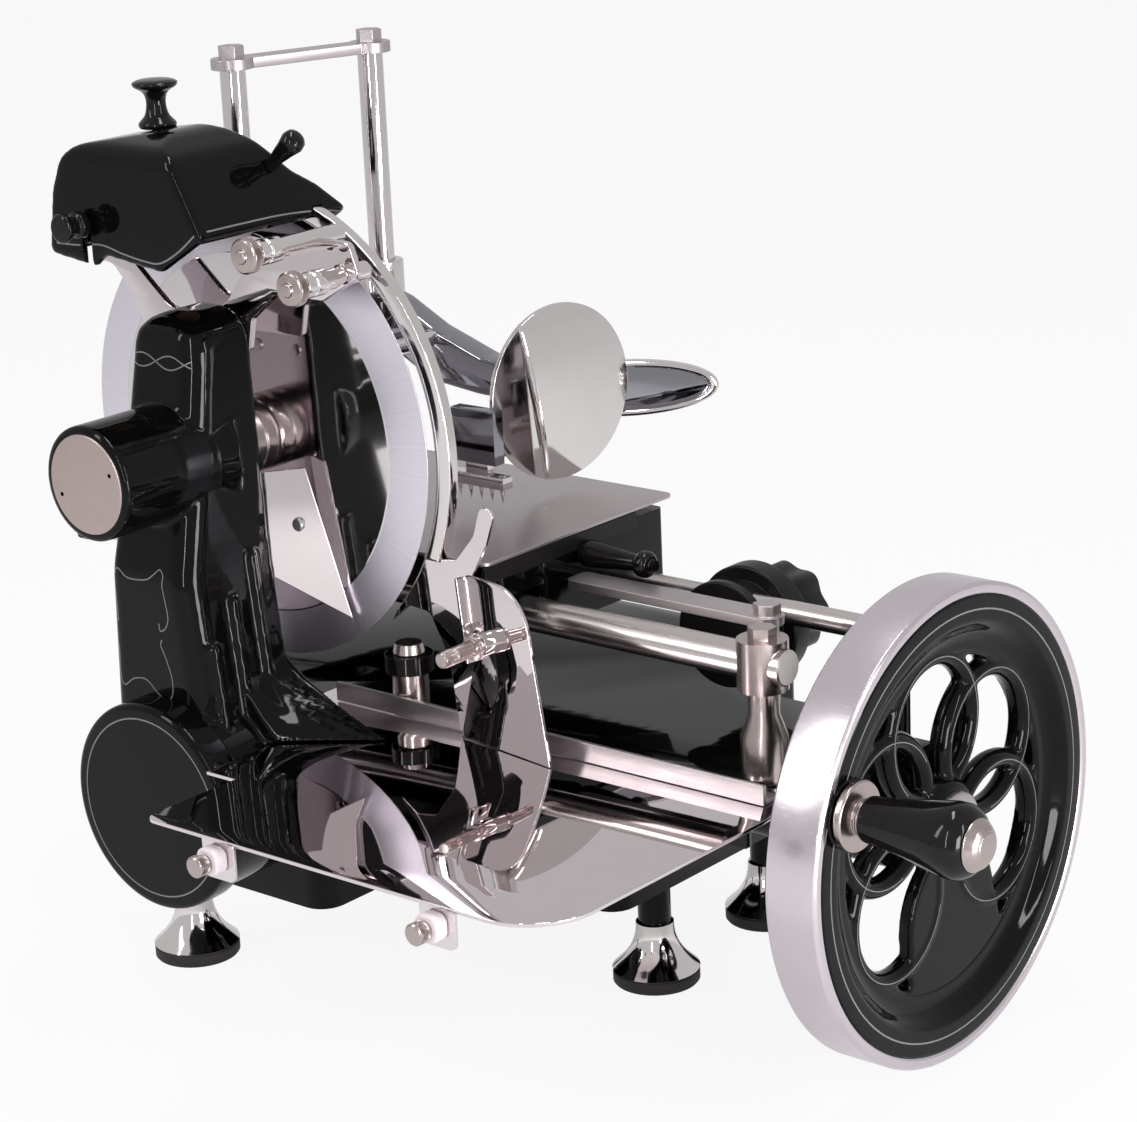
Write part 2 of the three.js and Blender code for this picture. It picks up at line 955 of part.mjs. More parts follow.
function baseCasting() {
  const body = slab(basePlan(0, baseCorner), "z", baseBottom, deckTop, 3);
  const hollow = slab(basePlan(baseWall, baseCorner - baseWall), "z", baseBottom - overrun, deckUnder, 2);
  const deck = box(deckLeft, deckRight, deckFront, deckRear, deckUnder, deckTop, baseCorner);
  const ribs = [deckFront + baseWall, deckRear - 2 * baseWall].flatMap((y) => [
    box(deckLeft + baseCorner, baseLeft + baseWall, y, y + baseWall, deckUnder - deckRib, deckTop - fit),
    box(armFrom, deckRight - baseCorner, y, y + baseWall, deckUnder - deckRib, deckTop - fit),
  ]);
  const arm = box(
    armFrom,
    armTo,
    wheelY - wheelBearingRadius,
    wheelY + wheelBearingRadius,
    driveZ,
    deckTop,
  );
  const housing = moved(rod(wheelBearingRadius, "x", armFrom, armTo, 32), 0, wheelY, driveZ);
  const tunnel = moved(
    rod(wheelShaftRadius + fit, "x", baseNarrowRight, armTo + overrun, 20),
    0,
    wheelY,
    driveZ,
  );
  const frontBoss = moved(rod(bossRadius, "y", baseFront + overrun, baseFront + baseWall + bossLong), driveX, 0, driveZ);
  const crossBore = moved(
    rod(crossShaftRadius + fit, "y", baseFront - overrun, baseFront + baseWall + bossLong + overrun),
    driveX,
    0,
    driveZ,
  );
  const posts = [
    [postLeftX, frontRodY, frontRodRadius],
    [postLeftX, rearRodY, rearRodRadius],
    [rearPostX, rearRodY, rearRodRadius],
  ];
  const pillars = posts.map(([x, y, radius]) =>
    moved(rod(radius + postWall, "z", deckUnder, rodZ + radius + postWall), x, y, 0),
  );
  const rodBores = posts.map(([x, y, radius]) =>
    moved(rod(radius + fit, "x", -2 * postRadius, 2 * postRadius), x, y, rodZ),
  );
  const legs = feet.flatMap(([x, y]) => [
    moved(rod(legBossRadius, "z", baseBottom, deckUnder + overrun, 14), x, y, 0),
    moved(rod(footNeckRadius, "z", floorZ + footHigh + fit, baseBottom + overrun, 18), x, y, 0),
  ]);
  const shell = cut(body, hollow);
  return cut(
    join(shell, deck, ...ribs, arm, housing, frontBoss, ...legs, ...pillars),
    tunnel,
    crossBore,
    ...rodBores,
  );
}

// Bell foot with the rubber ring that it stands on
function footBell() {
  const profile = [
    [floorZ, 0],
    [floorZ, footRadius - fit],
    [floorZ + footRingHigh - fit, footRadius - fit],
  ];
  const steps = 5;
  for (let i = 0; i <= steps; i++) {
    const up = i / steps;
    const flare = (1 - up) ** 2.4;
    profile.push([
      floorZ + footRingHigh + up * (footHigh - footRingHigh),
      footTopRadius + (footRadius - footTopRadius) * flare,
    ]);
  }
  profile.push([floorZ + footHigh, 0]);
  return turned(profile, "z", 20);
}


// Flywheel: a deep rim, a dished face and six overlapping rings that make pointed petals

function wheelRimSection() {
  const back = -wheelWide;
  const web = -wheelStep;
  return turned(
    [
      [web - wheelWebThick, wheelWebInner],
      [web - wheelWebThick, wheelBackRim - wheelStep],
      [back, wheelBackRim],
      [back, wheelRadius - wheelRim / 2],
      [back + wheelRim / 2, wheelRadius],
      [-wheelRim / 3, wheelRadius],
      [0, wheelRadius - wheelRim / 3],
      [0, wheelRadius - wheelRim],
      [-wheelRim / 3, wheelRadius - wheelRim * 1.2],
      [-wheelRim / 3, wheelFaceInner],
      [web * 0.7, wheelFaceInner - wheelStep * 0.7],
      [web, wheelFaceInner - wheelStep * 1.5],
      [web, wheelWebInner],
      [web - wheelWebThick, wheelWebInner],
    ],
    "x",
    60,
  );
}

function flywheel() {
  const web = [-wheelStep - wheelWebThick, -wheelStep];
  const rings = [];
  for (let i = 0; i < ringCount; i++) {
    const angle = rad(ringTurn + (360 / ringCount) * i);
    const [y, z] = [ringFromCentre * Math.cos(angle), ringFromCentre * Math.sin(angle)];
    const shape = circle(ringMeanRadius + ringBand / 2);
    if (i !== ringFilled) shape.holes.push(circle(ringMeanRadius - ringBand / 2));
    const bevel = ringSoft;
    rings.push(moved(slab(shape, "x", ...web, 10, bevel), 0, y, z));
  }
  const hub = turned(
    [
      [web[0] - wheelHubHigh, 0],
      [web[0] - wheelHubHigh, wheelHubRadius],
      [web[1], wheelHubRadius],
      [web[1] + wheelHubHigh * 0.7, wheelHubRadius * 0.82],
      [web[1] + wheelHubHigh, wheelHubRadius * 0.6],
      [web[1] + wheelHubHigh, 0],
    ],
    "x",
    24,
  );
  const pad = rod(crankPadRadius, "x", web[0], crankPadHigh, 32);
  const turn = rad(crankTurn);
  const padPlace = [crankRadius * Math.cos(turn), crankRadius * Math.sin(turn)];
  const limit = rod(wheelRadius - wheelRim, "x", -2 * wheelWide, wheelWide, 72);
  const padTrimmed = common(moved(pad, 0, ...padPlace), limit);
  const shaftBore = rod(
    wheelShaftRadius + fit,
    "x",
    web[0] - wheelHubHigh - overrun,
    web[1] + wheelHubHigh + overrun,
  );
  const pinBore = moved(
    rod(crankPinRadius + fit, "x", web[0] - overrun, crankPadHigh + overrun),
    0,
    ...padPlace,
  );
  return cut(join(wheelRimSection(), ...rings, hub, padTrimmed), shaftBore, pinBore);
}

const crankPinFrom = -wheelStep - wheelWebThick;
const gripFrom = crankPadHigh + fit + crankCollarLong;

function crankPin() {
  const collar = turned(
    [
      [crankPadHigh + fit, 0],
      [crankPadHigh + fit, crankCollarRadius * 1.25],
      [crankPadHigh + fit + crankCollarLong * 0.25, crankCollarRadius * 1.25],
      [crankPadHigh + fit + crankCollarLong * 0.35, crankCollarRadius * 0.7],
      [crankPadHigh + fit + crankCollarLong * 0.7, crankCollarRadius * 0.7],
      [crankPadHigh + fit + crankCollarLong * 0.75, crankCollarRadius],
      [gripFrom - fit, crankCollarRadius],
      [gripFrom - fit, 0],
    ],
    "x",
    20,
  );
  return join(collar, rod(crankPinRadius, "x", crankPinFrom, gripFrom + gripLong - 2 * fit));
}

// The grip swells from its collar to a round end
function crankGrip() {
  const inner = crankPinRadius + fit;
  const shares = [
    [0, gripSmallRadius],
    [0.04, gripSmallRadius * 1.04],
    [0.5, (gripSmallRadius + gripLargeRadius) / 2],
    [0.72, gripLargeRadius * 0.94],
    [0.84, gripLargeRadius],
    [0.93, gripLargeRadius * 0.9],
    [1, gripLargeRadius * 0.62],
  ];
  return turned(
    [
      [gripFrom, inner],
      ...shares.map(([share, radius]) => [gripFrom + share * gripLong, radius]),
      [gripFrom + gripLong, inner],
      [gripFrom, inner],
    ],
    "x",
    24,
  );
}

const gripCap = () =>
  turned(
    [
      [gripFrom + gripLong + fit, 0],
      [gripFrom + gripLong + fit, gripCapRadius],
      [gripFrom + gripLong + fit + gripCapHigh * 0.5, gripCapRadius * 0.94],
      [gripFrom + gripLong + fit + gripCapHigh, gripCapRadius * 0.7],
      [gripFrom + gripLong + fit + gripCapHigh, 0],
    ],
    "x",
    24,
  );

const hubCap = () => {
  const from = -wheelStep + wheelHubHigh + fit;
  return turned(
    [
      [from, 0],
      [from, hubCapRadius],
      [from + hubCapHigh * 0.7, hubCapRadius],
      [from + hubCapHigh, hubCapRadius * 0.85],
      [from + hubCapHigh, 0],
    ],
    "x",
    20,
  );
};

// Guard ring beyond the blade's edge, with a horn that follows the blade down to its foot plate
function guardRing() {
  const inner = bladeRadius + guardGap;
  const outer = inner + guardWide;
  const shape = new THREE.Shape()
    .absarc(0, 0, outer, rad(guardStart), rad(guardEnd))
    .absarc(0, 0, inner, rad(guardEnd), rad(guardStart), true);
  const under = box(0, 2 * outer, 0, guardNear + 2 * guardDeep, -outer, guardFootZ);
  return cut(slab(shape, "y", guardNear, guardNear + guardDeep, 20), under);
}

function footPlate() {
  const [near, far] = [guardNear + footPlateSet, guardNear + footPlateSet + sheet];
  const plate = slab(
    fromShares(footPlateShares, footPlateLeft, footPlateBottom, footPlateWide, footPlateHigh, footPlateCorner),
    "y",
    near,
    far,
    4,
  );
  const bladeRoom = rod(bladeRadius + guardGap, "y", 0, 2 * far, 72);
  const outer = bladeRadius + guardGap + guardWide + fit;
  const ringRoom = common(
    rod(outer, "y", 0, 2 * far, 72),
    box(0, 2 * outer, 0, 2 * far, guardFootZ - fit, outer),
  );
  return cut(plate, bladeRoom, ringRoom);
}

// A flat panel through corners in space, given thickness behind its face
function panel(corners, thick) {
  const [a, b, c] = corners.slice(0, 3).map((p) => new THREE.Vector3(...p));
  const across = b.clone().sub(a).normalize();
  const out = across.clone().cross(c.clone().sub(a)).normalize();
  const up = out.clone().cross(across);
  const flat = corners.map((p) => {
    const from = new THREE.Vector3(...p).sub(a);
    return new THREE.Vector2(from.dot(across), from.dot(up));
  });
  const geometry = new THREE.ExtrudeGeometry(new THREE.Shape(flat), {
    depth: thick,
    bevelEnabled: false,
    curveSegments: 4,
  });
  const frame = new THREE.Matrix4().makeBasis(across, up, out).setPosition(a);
  return geometry.applyMatrix4(frame);
}

// Plate that lifts the slice off the blade: one edge lies at the blade, the other at the case
function slicePlate() {
  const [near, far] = [caseBack + fit, -bladeThick - 2 * fit];
  const low = slicePlateTop - slicePlateHigh;
  const plate = panel(
    [
      [slicePlateNear, near, slicePlateTop],
      [slicePlateNear + slicePlateLean * slicePlateNearShare, near, low + slicePlateHigh * slicePlateNearShare],
      [slicePlateFar + slicePlateLean, far, low],
      [slicePlateFar, far, slicePlateTop + sheet],
    ],
    slicePlateThick,
  );
  return common(plate, box(0, bladeRadius, near, far, -bladeRadius, 0));
}

const deflectorFrame = new THREE.Matrix4()
  .makeRotationZ(rad(deflectorTurn))
  .setPosition(deflectorLeft, deflectorY, trayZ + fit);

function deflector() {
  const leaf = outline([
    [0, 0],
    [deflectorWide, 0],
    [deflectorWide * 0.9, deflectorHigh, deflectorCorner],
    [deflectorWide * 0.12, deflectorHigh],
    [deflectorWide * 0.2, deflectorHigh * 0.5],
  ]);
  const face = slab(leaf, "y", 0, sheet);
  const flange = slab(
    outline([
      [deflectorWide * 0.12, deflectorHigh],
      [deflectorWide * 0.12 + sheet, deflectorHigh],
      [deflectorWide * 0.3, deflectorHigh * 0.5],
      [deflectorWide * 0.2, deflectorHigh * 0.5],
    ]),
    "y",
    -deflectorFlange,
    overrun,
  );
  const eye = rod(pinRadius + fit + sheet, "y", deflectorY - deflectorFlange, deflectorY);
  const room = rod(pinRadius + fit, "y", pinFront - overrun, pinBack + deflectorFlange);
  const turnedLeaf = join(face, flange).applyMatrix4(deflectorFrame);
  return cut(join(turnedLeaf, moved(eye, pinX, 0, pinZ)), moved(room, pinX, 0, pinZ));
}

const deflectorPin = () =>
  join(
    rod(pinRadius, "y", pinFront, deflectorY - fit),
    rod(pinRadius + sheet, "y", deflectorY - deflectorFlange - sheet, deflectorY - deflectorFlange - fit),
  );

// Tray: a flat sheet notched round the case, with two tabs under its front edge for the clips
const clipPlaces = [clipLeftX, clipLeftX + clipStep];

function tray() {
  const plan = outline([
    [trayLeft, trayFront, trayCorner * cornerSmallShare],
    [trayRight, trayFront, trayCorner],
    [trayRight, trayRear, trayCorner * cornerSmallShare],
    [trayInnerLeft, trayRear],
    [trayInnerLeft, trayNotchBack],
    [trayNotchX, trayNotchBack],
    [trayNotchX, trayNotchFront],
    [trayLeft, trayNotchFront],
  ]);
  const leaf = slab(plan, "z", trayZ - sheet, trayZ, 5);
  const tabs = clipPlaces.map((x) =>
    box(x - clipWide / 2, x + clipWide / 2, clipY, clipY + sheet, trayZ - clipDrop, trayZ - sheet / 2),
  );
  const holes = clipPlaces.map((x) =>
    moved(rod(studHoleRadius, "y", clipY - overrun, clipY + sheet + overrun, 16), x, 0, clipScrewZ),
  );
  return cut(join(leaf, ...tabs), ...holes);
}

const clipScrewZ = trayZ - clipDrop / 2;
const clipBlock = (x) =>
  cut(
    box(
      x - clipBlockWide / 2,
      x + clipBlockWide / 2,
      clipY - fit - clipBlockDeep,
      clipY - fit,
      clipScrewZ - clipBlockHigh / 2,
      clipScrewZ + clipBlockHigh / 2,
    ),
    moved(rod(studHoleRadius, "y", clipY - 2 * clipBlockDeep, clipY, 16), x, 0, clipScrewZ),
  );

// A thumb screw: a thin shank and a head with a knurl of shallow flutes
function thumbScrew(headRadius, headLong, shankRadius, shankLong, flutes) {
  const shape = new THREE.Shape();
  const points = [];
  for (let i = 0; i < 2 * flutes; i++) {
    const angle = (i / flutes) * Math.PI;
    const radius = i % 2 === 0 ? headRadius : headRadius * fluteShare;
    points.push(new THREE.Vector2(radius * Math.cos(angle), radius * Math.sin(angle)));
  }
  shape.setFromPoints(points);
  return join(
    slab(shape, "y", -headLong, 0),
    rod(shankRadius, "y", -headLong / 2, shankLong, 16),
  );
}

const trayRail = () =>
  join(
    box(railLeft, railLeft + railLong, railY, railY + railThick, trayZ + fit, trayZ + railHigh),
    box(railLeft, railLeft + railLong, railY, railY + railDeep, trayZ + fit, trayZ + railThick),
  );

// Roller beside the blade: a stud on the tray and a bearing that turns on it
const rollerStud = () =>
  turned(
    [
      [trayZ + fit, 0],
      [trayZ + fit, rollerBoss],
      [rollerZ - rollerHigh / 2 - fit, rollerBoss],
      [rollerZ - rollerHigh / 2 - fit, rollerBore],
      [rollerZ + rollerHigh / 2 + fit, rollerBore],
      [rollerZ + rollerHigh / 2 + fit, rollerNutRadius],
      [rollerZ + rollerHigh / 2 + rollerNutHigh, rollerNutRadius * nutTaperShare],
      [rollerZ + rollerHigh / 2 + rollerNutHigh, 0],
    ],
    "z",
  );
const rollerBearing = () =>
  bored(rollerRadius, rollerBore + fit, "z", rollerZ - rollerHigh / 2, rollerZ + rollerHigh / 2, 32);

// Slide rods and the front post that clamps one of them
const slideRod = (radius, y, right) => moved(rod(radius, "x", rodLeft, right, 20), 0, y, rodZ);

function frontPost() {
  const head = frontRodRadius + postWall;
  const body = turned(
    [
      [deckTop + fit, 0],
      [deckTop + fit, postFootRadius],
      [deckTop + postFootHigh, postFootRadius],
      [deckTop + postFootHigh + postNeckHigh, postNeckRadius],
      [rodZ - head, postNeckRadius],
      [rodZ - head, head],
      [rodZ + head, head],
      [rodZ + head, 0],
    ],
    "z",
    20,
  );
  const bolt = hexagon(boltAcross, "z", rodZ + head - overrun, rodZ + head + boltHigh);
  const bore = moved(rod(frontRodRadius + fit, "x", -2 * head, 2 * head, 20), 0, 0, rodZ);
  return moved(cut(join(body, bolt), bore), postX, frontRodY, 0);
}

// Carriage saddle: a box open below that rides on both rods
function saddle() {
  const shoeFront = frontRodY - frontRodRadius - shoeWall;
  const body = join(
    box(saddleLeft, saddleRight, saddleStepY, saddleRear, saddleBottom, saddleTop, shoeWall),
    box(saddleLeft, saddleRight, saddleFront, saddleStepY + shoeWall, saddleStepZ, saddleTop, shoeWall),
    box(shoeX, shoeX + shoeWide, shoeFront, saddleStepY + shoeWall, saddleBottom, saddleTop - overrun),
  );
  const hollow = box(
    saddleLeft + saddleWall,
    saddleRight - saddleWall,
    saddleStepY + saddleWall,
    saddleRear - saddleWall,
    saddleBottom - overrun,
    saddleTop - saddleWall,
  );
  const bores = [
    [frontRodY, frontRodRadius],
    [rearRodY, rearRodRadius],
  ].map(([y, radius]) =>
    moved(rod(radius + fit, "x", saddleLeft - overrun, saddleRight + overrun, 20), 0, y, rodZ),
  );
  const handleHole = moved(
    rod(handleBoreRadius + fit, "x", saddleRight - 2 * saddleWall, saddleRight + overrun),
    0,
    handleY,
    handleZ,
  );
  return cut(body, hollow, ...bores, handleHole);
}

// Feed handle: a large and a small ball on a tapering bar, pivoted in the saddle's end wall
const handleShares = [
  [0, 0.32],
  [0.06, 0.32],
  [0.08, 0.6],
  [0.12, 0.88],
  [0.19, 1],
  [0.26, 0.88],
  [0.32, 0.7],
  [0.74, 0.44],
  [0.79, 0.58],
  [0.84, 0.64],
  [0.9, 0.52],
  [0.93, 0.24],
  [0.96, 0.3],
  [1, 0.22],
];
const feedHandle = () =>
  moved(
    join(
      turned(
        [
          [fit, 0],
          ...handleShares.map(([along, round]) => [fit + along * handleLong, round * handleBallRadius]),
          [fit + handleLong, 0],
        ],
        "x",
      ),
      rod(handleBoreRadius, "x", -saddleWall, 2 * fit, 16),
    ),
    saddleRight,
    handleY,
    handleZ,
  );

// Link bar on its own stud, bolted at its right end
function linkBar() {
  const left = linkEndX - linkLong;
  const bar = slab(
    outline([
      [left, linkEndY - linkWide / 2, linkWide / 4],
      [linkEndX + linkWide / 2, linkEndY - linkWide / 2, linkWide / 2],
      [linkEndX + linkWide / 2, linkEndY + linkWide / 2, linkWide / 2],
      [left, linkEndY + linkWide / 2, linkWide / 4],
    ]),
    "z",
    linkZ,
    linkZ + linkThick,
  );
  const stud = moved(rod(linkWide / 3, "z", deckTop + fit, linkZ + linkThick / 2), linkEndX, linkEndY, 0);
  const bolt = moved(
    hexagon(boltAcross, "z", linkZ + linkThick - overrun, linkZ + linkThick + boltHigh),
    linkEndX,
    linkEndY,
    0,
  );
  return join(bar, stud, bolt);
}

// Meat table: a plate on two runners, with a pin bore for each press rod
const pressPlaces = [
  [pressFarX, pressFarY],
  [pressNearX, pressNearY],
];

function table() {
  const under = tableZ - sheet;
  const plate = box(tableLeft, tableRight, tableFront, tableRear, under, tableZ, tableLip);
  const runners = [saddleLeft + runnerInset, saddleRight - runnerInset - runnerWide].map((x) =>
    box(x, x + runnerWide, saddleFront, saddleRear, saddleTop + fit, under + overrun),
  );
  return join(plate, ...runners);
}

const tableStrip = () =>
  box(
    tableRight - stripThick,
    tableRight,
    tableFront,
    tableFront + stripLong,
    tableZ - sheet - fit - stripHigh,
    tableZ - sheet - fit,
  );

// Press rods and the jogged bar that ties their tops together
const pressRod = ([x, y]) => moved(rod(pressRodRadius, "z", tableZ + fit, pressRodTop, 20), x, y, 0);

function pressBar() {
  const from = pressRodTop + fit;
  const [far, near] = pressPlaces.map((place) => new THREE.Vector2(...place));
  const along = near.clone().sub(far);
  const ends = pressPlaces.map(([x, y]) => moved(rod(pressBarEnd, "z", from, from + pressBarThick, 20), x, y, 0));
  const bar = slab(rectangle(0, -pressBarWide / 2, along.length(), pressBarWide / 2), "z", from, from + pressBarThick);
  bar.rotateZ(along.angle()).translate(far.x, far.y, 0);
  const bolts = pressPlaces.map(([x, y]) =>
    moved(hexagon(pressBolt, "z", from + pressBarThick - overrun, from + pressBarThick + pressBoltHigh), x, y, 0),
  );
  return join(bar, ...ends, ...bolts);
}

// Press arm: two sleeves on the rods, a web between them and a wedge that reaches over the table
function pressArm() {
  const sleeves = pressPlaces.map(([x, y]) =>
    moved(rod(armSleeve, "z", armZ, armZ + armSleeveHigh, 20), x, y, 0),
  );
  const [far, near] = pressPlaces.map((place) => new THREE.Vector2(...place));
  const along = near.clone().sub(far);
  const web = box(0, along.length(), -armThin / 2, armThin / 2, armZ + fit, armZ + armSleeveHigh - fit);
  web.rotateZ(along.angle()).translate(far.x, far.y, 0);
  const wedge = slab(
    outline([
      [armX - armWide, armTop - armThick],
      [armTipX, armTipZ - armThin, armThin / 2],
      [armTipX, armTipZ + armThin, armThin],
      [armX + armWide, armTop, armThick],
      [armX - armWide, armTop],
    ]),
    "y",
    armY - armWide / 2,
    armY + armWide / 2,
    2,
    armBevel,
  );
  const cross = moved(rod(crossBarRadius, "y", armY, discY + crossBarRadius, 20), crossBarX, 0, armTipZ);
  const pad = moved(rod(crossPadRadius, "x", crossBarX, discX - discThick / 2 - fit, 20), 0, discY, armTipZ);
  const bores = pressPlaces.map(([x, y]) =>
    moved(rod(pressRodRadius + fit, "z", armZ - overrun, armZ + armSleeveHigh + overrun, 20), x, y, 0),
  );
  const knobHole = moved(rod(studHoleRadius, "z", armZ - armWide, armTop + armWide, 16), pressKnobX, armY, 0);
  const socket = box(
    spikeBoxX - fit,
    spikeBoxX + spikeBoxWide + fit,
    armY - spikeBarDeep - fit,
    armY + fit,
    armTipZ - 2 * armWide,
    armTipZ - spikeBoxSink + fit,
  );
  return cut(join(...sleeves, web, wedge, cross, pad), ...bores, knobHole, socket);
}

const pressKnob = () =>
  moved(
    join(
      turned(
        [
          [armTop + fit, 0],
          [armTop + fit, armKnobRadius * knobFootShare],
          [armTop + armKnobRadius * knobFootShare, armKnobRadius],
          [armTop + armKnobRadius, armKnobRadius],
          [armTop + armKnobRadius * (1 + knobFootShare / 2), armKnobRadius * knobCrownShare],
          [armTop + armKnobRadius * (1 + knobFootShare / 2), 0],
        ],
        "z",
        28,
      ),
      rod(studHoleRadius - fit, "z", armTop - armThick / 2, armTop + 2 * fit, 16),
    ),
    pressKnobX,
    armY,
    0,
  );

const pressDisc = () =>
  moved(rod(discRadius, "x", discX - discThick / 2, discX + discThick / 2, 64), 0, discY, 0);

// Wing: a half lens of sheet standing square on the disc
function pressWing() {
  const radius = (wingChord ** 2 / 4 + wingRise ** 2) / (2 * wingRise);
  const half = Math.asin(wingChord / 2 / radius);
  const shape = new THREE.Shape().absarc(wingRise - radius, 0, radius, -half, half);
  return moved(slab(shape, "y", -sheet, 0, 20), discX + discThick / 2 + fit, wingY, 0);
}

// Tongue handle: an oval plate with a thick rim along the wing's middle
function pressTongue() {
  const from = discX + discThick / 2 + fit;
  const outer = rectangle(0, 0, tongueLong, tongueWide, tongueWide / 2);
  const plate = slab(outer, "z", tongueZ, tongueZ + tongueThick, 5, tongueBevel);
  const dish = slab(
    rectangle(tongueRim, tongueRim, tongueLong - tongueRim, tongueWide - tongueRim, tongueWide / 2 - tongueRim),
    "z",
    tongueZ + tongueThick / 2,
    tongueZ + tongueThick + overrun,
    4,
  );
  return moved(cut(plate, dish), from, tongueY, 0);
}

// Spike bar under the arm's tip
function spikeBar() {
  const boxTop = armTipZ - spikeBoxSink;
  const block = box(
    spikeBoxX,
    spikeBoxX + spikeBoxWide,
    armY - spikeBarDeep,
    armY,
    spikeBarZ - overrun,
    boxTop,
  );
  const bar = box(spikeBarX, spikeBarX + spikeBarLong, armY - spikeBarDeep, armY, spikeBarZ - spikeBarHigh, spikeBarZ);
  const spikes = [];
  for (let i = 0; i < spikeCount; i++) {
    const x = spikeBarX + ((i + 1 / 2) / spikeCount) * spikeBarLong;
    const spike = turned(
      [
        [spikeBarZ - spikeBarHigh - spikeLong, 0],
        [spikeBarZ - spikeBarHigh, spikeRadius],
        [spikeBarZ - spikeBarHigh + overrun, spikeRadius],
        [spikeBarZ - spikeBarHigh + overrun, 0],
      ],
      "z",
      10,
    );
    spikes.push(moved(spike, x, armY - spikeBarDeep / 2, 0));
  }
  return join(block, bar, ...spikes);
}

// Dial housing on the rear rod, and its lobed knob
function dialHousing() {
  const discEnd = dialFront + dialDiscThick;
  const ringEnd = dialRingStart + dialRingThick;
  const body = turned(
    [
      [dialFront, 0],
      [dialFront, dialDiscRadius],
      [discEnd, dialDiscRadius],
      [discEnd, dialBodyRadius],
      [dialRingStart, dialBodyRadius],
      [dialRingStart, dialRingRadius],
      [ringEnd, dialRingRadius],
      [ringEnd, 0],
    ],
    "y",
    30,
  );
  const bore = moved(rod(rearRodRadius + fit, "x", -2 * dialRingRadius, 2 * dialRingRadius), 0, rearRodY, rodZ - dialZ);
  const pinBore = rod(knobPinRadius + fit, "y", ringEnd - dialNeckLong, ringEnd + overrun);
  return moved(cut(body, bore, pinBore), dialX, 0, dialZ);
}

function thicknessKnob() {
  const ringEnd = dialRingStart + dialRingThick + fit;
  const shape = new THREE.Shape();
  const points = [];
  const count = knobLobes * knobLobeSteps;
  for (let i = 0; i < count; i++) {
    const angle = (i / count) * 2 * Math.PI;
    const radius = knobRadius - knobLobe / 2 + (knobLobe / 2) * Math.cos(knobLobes * angle);
    points.push(new THREE.Vector2(radius * Math.cos(angle), radius * Math.sin(angle)));
  }
  shape.setFromPoints(points);
  const grip = slab(shape, "y", ringEnd + dialNeckLong, ringEnd + dialNeckLong + knobThick, 1, knobLobe / 2);
  const neck = rod(dialNeckRadius, "y", ringEnd, ringEnd + dialNeckLong + overrun);
  const pin = rod(knobPinRadius, "y", ringEnd - dialNeckLong, ringEnd + overrun, 16);
  return moved(join(grip, neck, pin), dialX, 0, dialZ);
}

// Sharpener

// The hood's solid form, drawn in on every side by an inset
function hoodForm(inset) {
  const [wide, deep, high] = [hoodWide - 2 * inset, hoodDeep - 2 * inset, hoodHigh - inset];
  const bottom = inset > 0 ? hoodBottom - overrun : hoodBottom;
  const front = slab(
    fromShares(hoodFrontShares, hoodLeft + inset, bottom, wide, high, hoodCorner),
    "y",
    hoodFront + inset,
    hoodFront + hoodDeep,
    2,
  );
  const side = slab(
    fromShares(hoodSideShares, hoodFront + inset, bottom, deep, high, hoodCorner),
    "x",
    hoodLeft,
    hoodLeft + hoodWide,
    2,
  );
  return common(front, side);
}

const stoneSpindle = spindleRadius + fit;

function hood() {
  const slot = slab(
    rectangle(
      bobbinX - stoneSpindle,
      hoodBottom - hoodHigh,
      bobbinX + stoneSpindle,
      bobbinZ + stoneSpindle,
      spindleRadius,
    ),
    "y",
    hoodFront - overrun,
    hoodFront + 2 * hoodWall,
  );
  const mushroomHole = moved(
    rod(studHoleRadius, "z", hoodBottom, hoodBottom + 2 * hoodHigh, 16),
    mushroomX,
    mushroomY,
    0,
  );
  const coneHole = rod(studHoleRadius, "z", -coneLong, coneLong, 16).applyMatrix4(coneFrame);
  const room = box(bracketLeft, bladeRadius, bracketNear - fit, bracketNear + bracketThick + fit, 0, bracketTop + fit);
  const bladeRoom = rod(bladeRadius + guardGap, "y", -bladeThick - guardGap, guardNear, 48);
  const guardRoom = rod(
    bladeRadius + guardGap + guardWide + fit,
    "y",
    guardNear - fit,
    guardNear + guardDeep + fit,
    48,
  );
  return cut(hoodForm(0), hoodForm(hoodWall), slot, mushroomHole, coneHole, room, bladeRoom, guardRoom);
}

const coneFrame = new THREE.Matrix4()
  .makeRotationY(rad(coneTilt))
  .setPosition(coneX, coneY, coneZ);

// Bracket plate behind the blade's rim: it carries the hood, the studs and the far stone
function bracket() {
  const [near, far] = [bracketNear, bracketNear + bracketThick];
  const leaf = fromShares(bracketShares, bracketLeft, bracketBottom, bracketWide, bracketHigh, bracketCorner);
  const plate = slab(leaf, "y", near, far);
  const tab = common(
    box(tabX, tabX + tabWide, near, far, bracketBottom, hoodBottom + hoodHigh),
    hoodForm(hoodWall + fit),
  );
  const root = box(tabX, tabX + tabWide, near, far, bracketBottom + bracketThick, hoodBottom + tabJoin);
  const spindle = moved(rod(spindleRadius, "y", near, farStoneY + stoneThick, 16), farStoneX, 0, farStoneZ);
  const holes = [
    [lowStudX, lowStudZ],
    [highStudX, highStudZ],
  ].map(([x, z]) => moved(rod(studRadius + fit, "y", near - overrun, far + overrun), x, 0, z));
  return cut(join(plate, root, tab, spindle), ...holes);
}

const stone = (radius) => bored(radius, stoneSpindle, "y", -stoneThick / 2, stoneThick / 2, 32);

